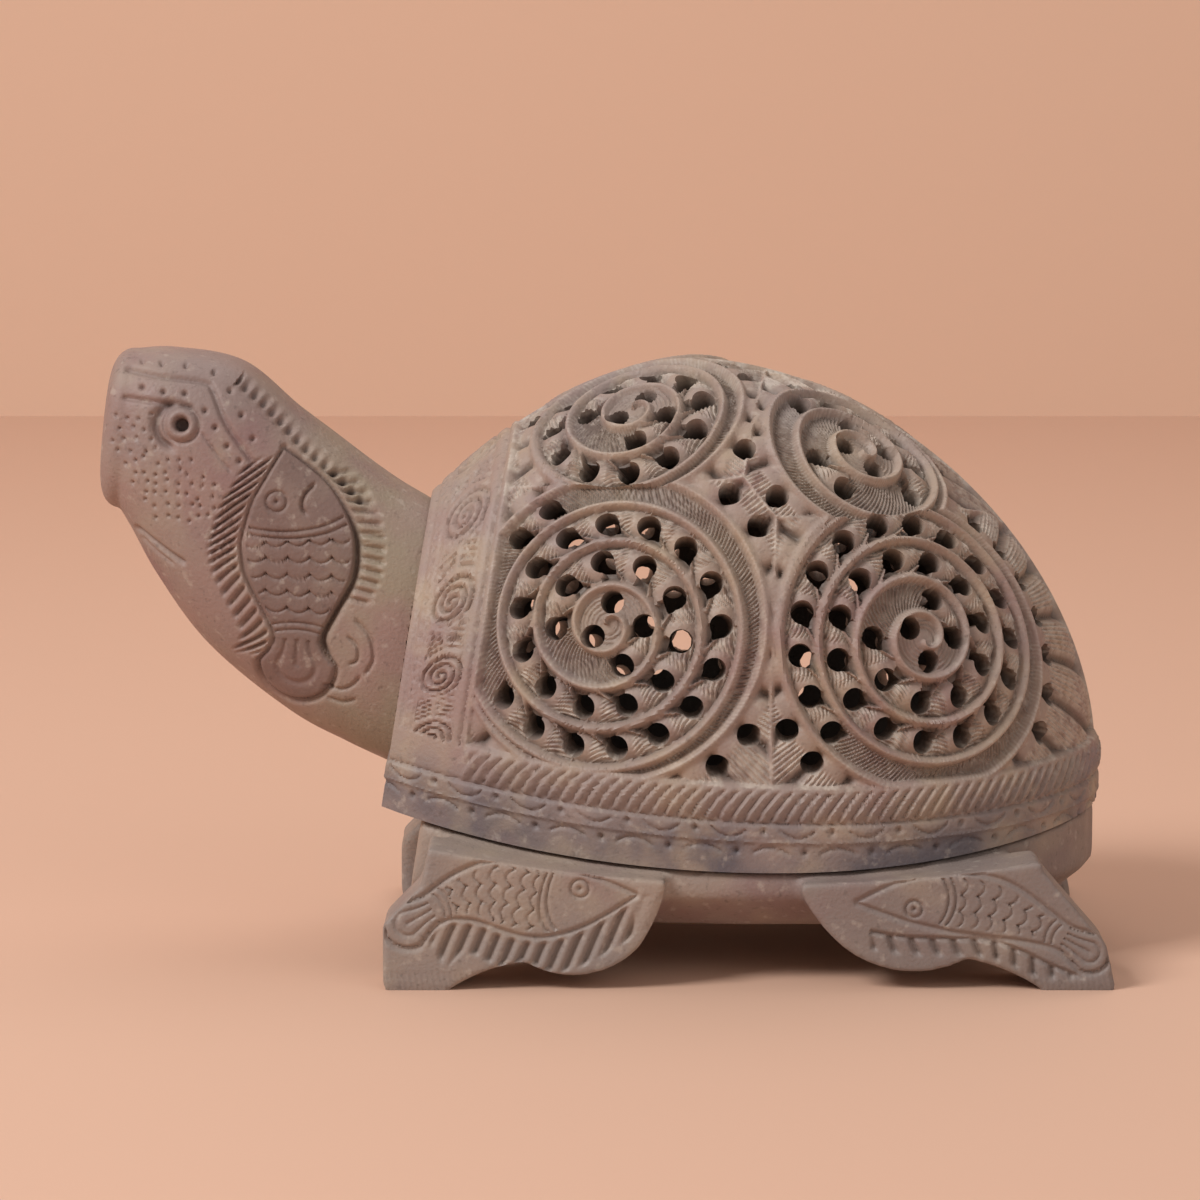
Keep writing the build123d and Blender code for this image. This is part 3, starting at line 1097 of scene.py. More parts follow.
    def fields(self, points: Array) -> dict[str, Array]:
        """Carving at points of the near side of the outer surface.

        Args:
            points: (n, 3) points on the smooth form.

        Returns:
            Height, wanted edge length, signed distance outside the holes and weight of the combing.
        """
        depth = -self.outer.ahead(points)
        below = self.below_rim(points)
        height, comb, tail = self.openwork(points)
        strip = depth < self.strip_width
        rim = below > 0
        open_field = ~strip & ~rim
        border = np.minimum(depth - self.strip_width, -below)
        height = soft_max(height, ridge(border, *self.border_vine), VALLEY)
        tail = np.where(border > self.border_margin, tail, NO_TAIL)
        carved = np.where(open_field, height, 0.0)
        carved = carved + np.where(rim, self.rim_relief(points, below, depth), 0.0)
        carved = carved + np.where(strip & ~rim, self.scroll.carve(points, depth, self.strip_width), 0.0)
        bands = self.rope.height + self.bands_reach * self.dotted.height
        size = np.where(open_field, self.medium, self.coarse)
        size = np.where(open_field & (comb > self.least_comb), self.fine, size)
        size = np.where((strip | rim) & (depth > 0.0), self.strip_size, size)
        size = np.where(rim & (depth > 0.0) & (below < bands), self.rim_size, size)
        return {
            "height": carved,
            "size": size,
            "outside": np.minimum(self.distance_outside_holes(points), tail),
            "comb": np.where(open_field, comb, 0.0),
        }

    def openwork(self, points: Array) -> tuple[Array, Array, Array]:
        """Height, comb weight and tail distance of the leaf carving."""
        fields = [medallion.polar(points) for medallion in self.medallions]
        beyond = np.array([found[0] - medallion.radius for found, medallion in zip(fields, self.medallions)])
        owner = np.argmin(beyond, 0)
        nearest = np.sort(beyond, 0)
        height, comb, tail = np.zeros((3, len(points)))
        for index, (medallion, (distance, turn)) in enumerate(zip(self.medallions, fields)):
            mine = owner == index
            if mine.any():
                found = self.in_medallion(medallion, distance[mine], turn[mine])
                height[mine], comb[mine], tail[mine] = found
        between = ridge(0.5 * (nearest[1] - nearest[0]), *self.between_vine) - self.between_drop
        height = np.where(nearest[0] > 0, soft_max(height, between, VALLEY), height)
        spine = ridge(points[:, 1], *self.spine_vine) - self.spine_drop
        return soft_max(height, spine, VALLEY), comb, tail

    def in_medallion(
        self, medallion: Medallion, distance: Array, turn: Array
    ) -> tuple[Array, Array, Array]:
        """Carving at polar places of one medallion, inside its ring and just outside it.

        Args:
            medallion: Medallion that the places belong to.
            distance: Distance of each place from the middle.
            turn: Turn of each place in the spiral's sense.

        Returns:
            Height, weight of the combing and distance outside the holes' tails.
        """
        inside = distance < medallion.radius
        wound = medallion.band(distance, turn)
        total = wound + turn
        low = np.where(inside, medallion.vine_line(total), medallion.radius)
        outer_vine = np.minimum(medallion.vine_line(total + 1.0), medallion.radius)
        high = np.where(inside, outer_vine, medallion.radius + medallion.pitch)
        across = distance - low
        width = np.maximum(high - low, self.least_width)
        run = medallion.run(total)
        number, back, length = medallion.cells(run)
        outer_back = np.mod(turn * medallion.free_count - 0.5, 1.0) * medallion.spacing
        back = np.where(inside, back, outer_back)
        length = np.where(inside, length, medallion.spacing)
        leaf, comb, tail = self.leaf.carve(back, length, across, width)
        petal, petal_comb = self.leaf.petal(back, length, across)
        last = len(medallion.turns)
        here, ahead = (medallion.ring_drilled[np.clip(number + step, 0, last)] for step in (0, 1))
        full = smooth_step(*self.full_width, width) * (here & ahead)
        plain, hatch = self.hatched_band(run, across, high - distance)
        height = full * leaf + (1.0 - full) * plain
        hatch = (1.0 - full) * hatch * smooth_step(*self.hatch_fade, width) * (run > 0)
        eye = inside & (wound < 0)
        height = np.where(eye, self.eye_relief(distance, low, high), height)
        comb = np.where(eye, self.eye_comb, comb * full + self.hatch_comb * hatch)
        tailed = here & (run >= 0) & inside & ~eye & (width > self.tail_width)
        ring = ridge(medallion.radius - distance, self.leaf.ring_half_width, self.leaf.vine_depth)
        height = np.where(inside, soft_max(height, ring, VALLEY), petal)
        return height, np.where(inside, comb, petal_comb), np.where(tailed, tail, NO_TAIL)

    def hatched_band(self, run: Array, across: Array, left: Array) -> tuple[Array, Array]:
        """Carving of a band that is too narrow for leaves or has no hole.

        Args:
            run: Length along the band.
            across: Distance from the inner vine's middle.
            left: Distance to the outer vine's middle.

        Returns:
            Height, and share of the hatching's full depth.
        """
        vines = np.maximum(ridge(across, *self.hatch_vine), ridge(left, *self.hatch_vine))
        hatch = combing(run + self.hatch_slant * across, self.leaf.comb_pitch)
        floor = np.where(run > 0, -self.hatch_floor - self.hatch_depth * hatch, -self.start_floor)
        return soft_max(vines, floor, self.floor_softness), hatch

    def eye_relief(self, distance: Array, low: Array, high: Array) -> Array:
        """Height of the vine and the combed pad inside the spiral's first turn.

        Args:
            distance: Distance from the medallion's middle.
            low: That of the inner vine.
            high: That of the outer vine.

        Returns:
            The height.
        """
        vine = np.where(low > 0, ridge(distance - low, *self.eye_inner_vine), -self.eye_inner_vine[1])
        vine = np.maximum(vine, ridge(high - distance, *self.eye_outer_vine))
        rings = combing(distance, self.leaf.comb_pitch) * (distance > self.pad_start)
        return soft_max(vine, -self.pad_floor - self.pad_depth * rings, self.floor_softness)

    def distance_outside_holes(self, points: Array) -> Array:
        """Distance of points outside the nearest round hole."""
        least = np.full(len(points), FAR)
        for origin, axis in self.holes:
            rays = points - origin
            along = rays @ axis
            close = np.abs(along) < self.drill_reach
            off = np.sqrt(np.maximum((rays**2).sum(1) - along**2, 0.0))
            least = np.where(close, np.minimum(least, off), least)
        return least - self.hole_radius

    def rim_relief(self, points: Array, below: Array, depth: Array) -> Array:
        """Rope band, and two dotted bands below it."""
        centre, front, rear, _ = self.outer.section(np.zeros(len(points)))
        across = (points[:, 0] - centre) / np.where(points[:, 0] > centre, rear, front)
        run = np.interp(-np.arccos(np.clip(across, -1.0, 1.0)), self.rim_angles, self.rim_run)
        rope = self.rope.carve(run, below) * smooth_step(self.strip_width, self.strip_width + 1.0, depth)
        height = np.where(below < self.rope.height, rope, 0.0)
        return self.dotted.carve(height, run, below - self.rope.height)

    def build(self) -> Stone:
        """Builds the pierced, carved and hollow shell as one closed stone."""
        net = self.outer.half_net(self.first_step)
        net.refine(self.outer.points_of, lambda _, points: self.fields(points)["size"], self.rounds)
        net.cut_along(self.fields(self.outer.points_of(net.places))["outside"])
        half = Stone(self.outer.points_of(net.places), net.triangles)
        carving = self.fields(half.points)
        outer = half.mirrored()
        outer.carve(half.for_both_halves(carving["height"]), self.deepest)
        outer.shades["dust"] = half.for_both_halves(carving["comb"])
        lining = self.inner.half_net(self.lining_step)
        lining.refine(
            self.inner.points_of,
            lambda _, points: np.full(len(points), self.lining_size),
            self.lining_rounds,
        )
        lining.cut_along(self.distance_outside_holes(self.inner.points_of(lining.places)))
        hollow = Stone(self.inner.points_of(lining.places), lining.triangles[:, ::-1]).mirrored()
        return self.joined(outer, hollow)

    def joined(self, outer: Stone, hollow: Stone) -> Stone:
        """Walls the holes and the seam between the outer surface and the hollow.

        Args:
            outer: Carved outer surface, open at the holes and the seam.
            hollow: Surface of the hollow, open at the same places.

        Returns:
            The closed stone.
        """
        axes = np.concatenate([self.holes, self.holes * MIRROR])

        def axis_of(stone: Stone, loop: Array) -> int:
            """Number of the axis that a loop goes round."""
            rays = stone.points[loop].mean(0) - axes[:, 0]
            along = (rays * axes[:, 1]).sum(1)
            off = np.sqrt(np.maximum((rays**2).sum(1) - along**2, 0.0))
            return int(np.argmin(np.where(np.abs(along) < self.loop_reach, off, FAR)))

        seam, *outer_loops = sorted(outer.open_loops(), key=len, reverse=True)
        inner_seam, *hollow_loops = sorted(hollow.open_loops(), key=len, reverse=True)
        points = np.vstack([outer.points, hollow.points])
        shift = len(outer.points)
        middle, upright = np.array(self.seam_middle), np.array((0.0, 0.0, 1.0))
        triangles = [outer.triangles, hollow.triangles + shift]
        triangles.append(bridge(points, seam, inner_seam + shift, middle, upright))
        inner_of = {axis_of(hollow, loop): loop for loop in hollow_loops}
        blind = 0
        for loop in outer_loops:
            number = axis_of(outer, loop)
            inner = inner_of.pop(number, None)
            if inner is None:
                blind += 1
                continue
            triangles.append(bridge(points, loop, inner + shift, *axes[number]))
        log.info("holes: %d, blind outside %d, blind inside %d", len(axes), blind, len(inner_of))
        plain = np.zeros(len(hollow.points))
        shades = {name: np.append(values, plain) for name, values in outer.shades.items()}
        # The whole inside of the shell, and so the inner ends of the hole walls, gets full painted shade.
        shades["hollow"][shift:] = 1.0
        # The rim bands grow darker towards the bottom.
        shades["tint"] = smooth_step(0.0, self.tint_depth, self.below_rim(points))
        return Stone(points, np.vstack(triangles), shades)


@dataclass(frozen=True)
class Feathers:
    """Row of slanting cuts beside one flank of a fish."""

    side: int
    reach: float
    pitch: float
    slant: float
    depth: float
    start: float = 0.0
    end: float = 1.0
    straight: bool = False
    inner_fade: tuple[float, float] = (0.7, 2.0)
    outer_fade: float = 1.4
    power: float = 1.5

    def carve(self, share: Array, along: Array, beyond: Array, across: Array, flat: Array) -> Array:
        """Depth, below zero, of the cuts.

        Args:
            share: Share of the fish's length, from its nose.
            along: Length from its nose.
            beyond: Distance outside its outline.
            across: Signed distance from its axis.
            flat: Places along X and Z, which straight cuts follow.

        Returns:
            The depth at each place.
        """
        phase = (along + self.slant * beyond) / self.pitch
        if self.straight:
            phase = (flat[:, 0] - self.slant * flat[:, 1]) / self.pitch
        wave = waves(phase, 1.0) ** self.power
        weight = smooth_step(*self.inner_fade, beyond)
        weight = weight * smooth_step(self.reach, self.reach - self.outer_fade, beyond)
        weight = weight * smooth_step(self.start - 0.01, self.start + 0.03, share)
        weight = weight * smooth_step(self.end + 0.01, self.end - 0.03, share)
        return np.where(across * self.side > 0, -self.depth * wave * weight, 0.0)


@dataclass(frozen=True)
class Fish:
    """Engraved fish on a curved axis from its nose to its tail, with feathers cut beside it.

    Places along it are shares of its length, and widths are shares of its half width.
    """

    axis: Route
    half_width: float
    eye_side: float
    eye_radius: float = 1.7
    scale_length: float = 2.9
    scale_width: float = 3.9
    depth: float = 0.75
    feathers: tuple[Feathers, ...] = ()
    undercut: float = 0.0
    outline: tuple[float, float] = (0.3, 0.5)
    undercut_line: tuple[float, float] = (0.8, 0.75)
    undercut_fades: Route = ((0.25, 0.45), (1.0, 0.9))
    eye_place: tuple[float, float] = (0.23, 0.3)
    eye_line: tuple[float, float] = (0.3, 0.5)
    pupil: tuple[float, float] = (0.4, 0.7)
    gill_place: float = 0.33
    gill_bow: float = 2.0
    gill_line: tuple[float, float] = (0.28, 0.5)
    gill_margin: float = 0.7
    band_place: float = 0.82
    band_bow: float = 0.8
    band_line: tuple[float, float] = (0.28, 0.4)
    band_margin: float = 0.3
    line_gap: float = 1.4
    scale_span: tuple[float, float] = (0.42, 0.79)
    scale_bow: float = 1.1
    scale_half_width: float = 0.27
    scale_depths: tuple[float, float] = (0.36, 0.5)
    scale_fade: tuple[float, float] = (-0.7, -1.2)
    fin_start: float = 0.88
    fin_share: float = 0.16
    fin_depth: float = 0.4
    least_width: float = 0.5
    width_shares: Route = (
        (0.0, 0.0), (0.1, 0.36), (0.22, 0.72), (0.38, 0.97), (0.48, 1.0),
        (0.6, 0.92), (0.75, 0.62), (0.86, 0.42), (0.93, 0.48), (1.0, 0.7),
    )

    def carve(self, flat: Array) -> tuple[Array, Array]:
        """Depth of the engraving, and distance outside the outline.

        Args:
            flat: (n, 2) places, along X and Z.

        Returns:
            Height below the surface, and distance from the outline, negative inside it.
        """
        path = curve_through(self.axis)
        across, along = beside_path(flat, path)
        length = path_length(path)
        share = along / length
        stops, widths = curve_through(self.width_shares).T
        width = self.half_width * np.interp(share, stops, widths)
        beyond = np.abs(across) - width
        line_place, half_width = self.outline
        height = groove(beyond - line_place, half_width, self.depth)
        start, end = self.undercut_fades
        lee = smooth_step(*start, share) * smooth_step(*end, share) * (across > 0)
        line_place, half_width = self.undercut_line
        height = height + groove(beyond - line_place, half_width, self.undercut) * lee
        forward, aside = self.eye_place
        eye = np.hypot(along - forward * length, across - self.eye_side * aside * self.half_width)
        height = height + groove(eye - self.eye_radius, *self.eye_line) + groove(eye, *self.pupil)
        bow = 1.0 - (across / np.maximum(width, self.least_width)) ** 2
        for gap in (0.0, self.line_gap):
            gill = along - self.gill_place * length - gap - self.gill_bow * bow
            height = height + np.where(beyond < -self.gill_margin, groove(gill, *self.gill_line), 0.0)
            band = along - self.band_place * length - gap + self.band_bow * bow
            height = height + np.where(beyond < -self.band_margin, groove(band, *self.band_line), 0.0)
        height = height + self.scales(share, along, across, beyond, length)
        rays = np.abs(np.mod(2.0 * across / np.maximum(width, self.least_width), 1.0) - 0.5)
        fin = (share > self.fin_start) * (beyond < 0)
        height = height + groove(0.5 - rays, self.fin_share, self.fin_depth) * fin
        for row in self.feathers:
            height = height + row.carve(share, along, beyond, across, flat)
        return height, beyond

    def scales(self, share: Array, along: Array, across: Array, beyond: Array, length: float) -> Array:
        """Depth, below zero, of the rows of scales.

        Args:
            share: Share of the fish's length, from its nose.
            along: Length from its nose.
            across: Signed distance from its axis.
            beyond: Distance outside its outline.
            length: Length of the fish.

        Returns:
            The depth at each place.
        """
        first, last = self.scale_span
        part = 2.0 * np.mod(across / self.scale_width + 0.5, 1.0) - 1.0
        bowed = along - first * length - self.scale_bow * (1.0 - part**2)
        off = from_middle(bowed, self.scale_length, 0.5)
        weight = smooth_step(*self.scale_fade, beyond) * (share > first) * (share < last)
        least, more = self.scale_depths
        return weight * groove(off, self.scale_half_width, 1.0) * (least + more * np.abs(part) ** 6)


@dataclass(frozen=True)
class Line:
    """Gouged line through corners along X and Z."""

    corners: Route
    half_width: float
    depth: float
    ends: tuple[float, float] = (-0.1, 1.2)

    def carve(self, flat: Array) -> Array:
        """Depth, below zero, of the line, which thins out at both ends."""
        path = curve_through(self.corners)
        across, along = beside_path(flat, path)
        outer, inner = self.ends
        length = path_length(path)
        weight = smooth_step(outer, inner, along) * smooth_step(length - outer, length - inner, along)
        return groove(across, self.half_width, self.depth) * weight


@dataclass(frozen=True)
class Stipple:
    """Dots scattered round staggered rows on the cheek, clear of the eye."""

    rows: int = 10
    top: float = 106.0
    row_pitch: float = 2.15
    dot_pitch: float = 2.3
    front: float = -95.3
    front_slope: float = 1.1
    upright_rows: int = 3
    rear: float = -86.5
    rear_slope: float = 1.9
    rear_end: float = -75.2
    scatter: float = 0.45
    stagger: float = 0.9
    eye_margin: float = 6.2
    seed: int = 7

    def centres(self, eye: tuple[float, float]) -> Array:
        """Centres of the dots along X and Z, the same at every call."""
        chance = np.random.default_rng(self.seed)
        places = []
        for row in range(self.rows):
            z = self.top - self.row_pitch * row
            start = self.front + self.front_slope * max(0, row - self.upright_rows)
            end = min(self.rear + self.rear_slope * row, self.rear_end)
            for place in np.arange(start, end, self.dot_pitch):
                x = place + chance.normal(0, self.scatter) + self.stagger * (row % 2)
                places.append((x, z + chance.normal(0, self.scatter)))
        centres = np.array(places)
        return centres[np.hypot(*(centres - eye).T) > self.eye_margin]


@dataclass(frozen=True)
class DrilledEye:
    """Raised ring with a drilled pupil in it, a line round it and a crescent beside it."""

    centre: tuple[float, float] = (-82.4, 104.6)
    ring_radius: float = 2.2
    ring_half_width: float = 0.75
    ring_height: float = 0.65
    pupil_edge: tuple[float, float] = (1.65, 1.1)
    pupil_depth: float = 2.2
    line_radius: float = 3.5
    line: tuple[float, float] = (0.4, 0.55)
    crescent_shift: tuple[float, float] = (1.0, 0.2)
    crescent_radius: float = 4.2
    crescent_line: tuple[float, float] = (0.95, 1.35)
    crescent_fade: tuple[float, float] = (0.6, -2.0)

    def carve(self, height: Array, flat: Array) -> Array:
        """Height at places along X and Z, with the eye in it."""
        off = np.hypot(*(flat - self.centre).T)
        ring = -groove(off - self.ring_radius, self.ring_half_width, self.ring_height)
        ring = ring - self.pupil_depth * smooth_step(*self.pupil_edge, off)
        beside = flat - self.centre + self.crescent_shift
        crescent = groove(np.hypot(*beside.T) - self.crescent_radius, *self.crescent_line)
        crescent = crescent * smooth_step(*self.crescent_fade, beside[:, 0])
        return height + ring + groove(off - self.line_radius, *self.line) + crescent


@dataclass(frozen=True)
class BeadedEdge:
    """Groove down the back of the head and neck, cut into a row of beads."""

    corners: Route = (
        (-71.5, 113.4), (-66.7, 109.3), (-62.1, 104.5), (-58.9, 101.0),
        (-54.3, 96.9), (-50.1, 93.2), (-46.2, 89.2),
    )
    pitch: float = 2.4
    inset: float = 0.4
    half_width: float = 1.0
    depth: float = 1.35
    least: float = 0.35
    start: float = 0.1

    def carve(self, flat: Array) -> Array:
        """Depth, below zero, of the groove at places along X and Z."""
        across, along = beside_path(flat, curve_through(self.corners))
        bead = self.least + (1.0 - self.least) * np.cos(math.pi * along / self.pitch) ** 2
        return groove(across + self.inset, self.half_width, self.depth) * bead * (along > self.start)


@dataclass
class HeadAndNeck:
    """Raised neck and head: rounded sections on a bent axis, with brow lines, an eye and a fish.

    Each station is a share of the reach, of the rise, of the half height and of the half width,
    and then the lean of its section in degrees.
    """

    body: str = "shell"
    node: str = "head_and_neck"
    slot: str = "head_stone"
    seat: tuple[float, float, float] = (-38.57, 0.0, 62.0)
    reach: float = 60.4
    rise: float = 42.0
    half_height: float = 26.3
    half_width: float = 20.0
    squareness: float = 2.6
    snout_length: float = 4.5
    snout_power: float = 0.9
    cap_power: float = 0.36
    cap_share: float = 0.12
    net_length: float = 70.0
    net_round: float = 40.0
    station_steps: int = 16
    first_step: float = 1.6
    rounds: int = 4
    fine: float = 0.30
    plain: float = 0.7
    hidden: float = 3.0
    least_carving: float = 0.04
    facing_fade: tuple[float, float] = (0.32, 0.62)
    bead_fade: tuple[float, float] = (0.1, 0.3)
    bead_lead: float = 0.2
    bare_seat: float = 0.3
    dot: tuple[float, float] = (0.5, 1.0)
    stipple_dot: tuple[float, float] = (0.36, 0.65)
    tint_fade: tuple[float, float] = (-72.0, -44.0)
    stain_and_shade_fade: tuple[float, float] = (0.5, -0.5)
    stipple: Stipple = Stipple()
    eye: DrilledEye = DrilledEye()
    beads: BeadedEdge = BeadedEdge()
    stations: Route = (
        (0.000, 0.000, 1.00, 1.00, 9.0),
        (0.130, 0.100, 1.01, 0.98, 10.5),
        (0.290, 0.245, 1.02, 0.96, 13.6),
        (0.510, 0.500, 0.95, 0.92, 22.0),
        (0.685, 0.775, 0.86, 0.88, 22.7),
        (0.835, 0.920, 0.69, 0.80, 15.0),
        (0.920, 0.960, 0.60, 0.69, 6.0),
    )
    fish: Fish = Fish(
        axis=((-62.4, 99.8), (-60.8, 91.0), (-59.7, 81.0), (-59.9, 70.0), (-60.4, 57.5)),
        half_width=11.0,
        eye_side=-1.0,
        eye_radius=2.0,
        scale_length=3.3,
        scale_width=4.3,
        depth=1.0,
        feathers=(
            Feathers(side=-1, reach=7.2, pitch=2.2, slant=-0.75, depth=1.1, start=0.02, end=0.97),
            Feathers(side=1, reach=6.4, pitch=1.9, slant=-0.2, depth=0.8, start=0.12, end=0.72),
        ),
        undercut=1.2,
    )
    lines: tuple[Line, ...] = (
        Line(
            ((-94.3, 115.0), (-86.3, 113.6), (-78.3, 112.6), (-76.3, 110.9), (-73.6, 104.7), (-68.1, 96.7)),
            0.6,
            0.85,
        ),
        Line(((-94.6, 109.6), (-86.3, 108.8), (-82.8, 108.6), (-79.6, 107.6)), 0.55, 0.75),
        Line(((-78.7, 103.4), (-75.3, 98.7), (-72.4, 95.3)), 0.3, 0.4),
        Line(((-92.6, 84.2), (-88.6, 81.5), (-85.0, 79.0), (-81.6, 77.0)), 0.55, 0.9),
        Line(((-91.4, 82.2), (-88.0, 79.4), (-84.0, 76.6)), 0.35, 0.45),
        Line(((-56.2, 93.3), (-58.4, 91.0), (-58.9, 88.6), (-57.8, 86.8)), 0.4, 0.9),
        Line(((-49.0, 67.0), (-46.0, 63.5), (-45.2, 59.0), (-47.0, 55.5)), 0.4, 0.6),
        Line(((-50.6, 63.6), (-48.4, 61.5), (-48.4, 58.6), (-50.4, 57.6)), 0.35, 0.6),
        Line(((-55.6, 53.6), (-52.0, 52.6), (-49.4, 53.6), (-47.6, 55.6)), 0.4, 0.6),
        Line(((-55.0, 51.0), (-51.4, 50.0), (-48.4, 50.8)), 0.4, 0.6),
    )
    dots: Route = (
        (-94.1, 116.6), (-90.5, 116.4), (-86.6, 116.0), (-81.8, 115.6),
        (-76.2, 114.3), (-73.0, 110.9), (-70.7, 106.3), (-68.5, 101.8),
        (-90.3, 111.6), (-86.0, 110.8), (-81.8, 110.5), (-77.8, 107.2),
        (-75.8, 104.0), (-73.5, 100.4), (-71.1, 97.5),
    )

    def points_of(self, places: Array) -> Array:
        """Points at net places: along the neck from its seat, and round it from its top."""
        along = places[:, 0] / self.net_length
        angle = math.pi * places[:, 1] / self.net_round
        rows = curve_through(self.stations, self.station_steps)
        at = np.clip(along, 0.0, 1.0) * (len(rows) - 1)
        out, up, height, width, lean = (np.interp(at, np.arange(len(rows)), column) for column in rows.T)
        lean = np.radians(lean)
        cap = np.clip((along - 1.0) / self.cap_share, 0.0, 1.0) * 0.5 * math.pi
        rounding = np.maximum(np.cos(cap), 0.0) ** self.cap_power
        shrink = np.where(along < 0, 1.0 + along / self.cap_share, rounding)
        power = 2.0 / self.squareness
        tall = np.sign(np.cos(angle)) * np.abs(np.cos(angle)) ** power * self.half_height * height * shrink
        wide = np.abs(np.sin(angle)) ** power * self.half_width * width * shrink
        wide[wide < ON_AXIS] = 0.0
        forward = self.snout_length * np.sin(cap) ** self.snout_power
        x = self.seat[0] - self.reach * out + np.sin(lean) * tall - forward * np.cos(lean)
        z = self.seat[2] + self.rise * up + np.cos(lean) * tall + forward * np.sin(lean)
        return np.stack([x, -wide, z], -1)

    def carve(self, places: Array, points: Array) -> Array:
        """Height of the carving at net places and their points."""
        flat = points[:, (0, 2)]
        facing = smooth_step(*self.facing_fade, np.sin(math.pi * places[:, 1] / self.net_round))
        height, _ = self.fish.carve(flat)
        for line in self.lines:
            height = height + line.carve(flat)
        height = height + pits(flat, np.array(self.dots), *self.dot)
        height = height + pits(flat, self.stipple.centres(self.eye.centre), *self.stipple_dot)
        height = self.eye.carve(height, flat) * facing
        height = height + self.beads.carve(flat) * smooth_step(*self.bead_fade, facing + self.bead_lead)
        return height * (places[:, 0] > self.bare_seat)

    def sizes(self, places: Array, points: Array) -> Array:
        """Wanted triangle size: fine where the carving is, and coarse inside the socket."""
        carved = np.abs(self.carve(places, points)) > self.least_carving
        size = np.where(carved, self.fine, self.plain)
        return np.where(places[:, 0] < 0.0, self.hidden, size)

    def build(self) -> Stone:
        """Builds the carved head and neck as one closed stone."""
        share = self.cap_share * self.net_length
        far = (self.net_length + share, self.net_round)
        net = Net.over_rectangle((-share, 0.0), far, self.first_step)
        net.refine(self.points_of, self.sizes, self.rounds)
        half, first = Stone.welded(self.points_of(net.places), net.triangles)
        height = self.carve(net.places[first], half.points)
        whole = half.mirrored()
        whole.carve(half.for_both_halves(height))
        whole.shades["tint"] = smooth_step(*self.tint_fade, whole.points[:, 0])
        _, beyond = self.fish.carve(whole.points[:, (0, 2)])
        whole.shades["stain_and_shade"] = smooth_step(*self.stain_and_shade_fade, beyond)
        return whole


@dataclass(frozen=True)
class NotchedLedge:
    """Line on the hind leg with slanting notches below it."""

    corners: Route
    line: tuple[float, float] = (0.4, 0.7)
    start: float = 0.2
    start_fade: tuple[float, float] = (0.2, 2.0)
    upper_fade: tuple[float, float] = (0.0, 0.5)
    lower_fade: tuple[float, float] = (3.8, 2.6)
    pitch: float = 4.0
    slant: float = 0.5
    depth: float = 1.1
    power: int = 3

    def carve(self, height: Array, flat: Array) -> Array:
        """Height at places along X and Z, with the ledge in it."""
        across, along = beside_path(flat, curve_through(self.corners))
        under = smooth_step(*self.upper_fade, -across) * smooth_step(*self.lower_fade, -across)
        under = under * smooth_step(*self.start_fade, along)
        notch = waves(along + self.slant * across, self.pitch) ** self.power
        return height + groove(across, *self.line) * (along > self.start) - self.depth * notch * under


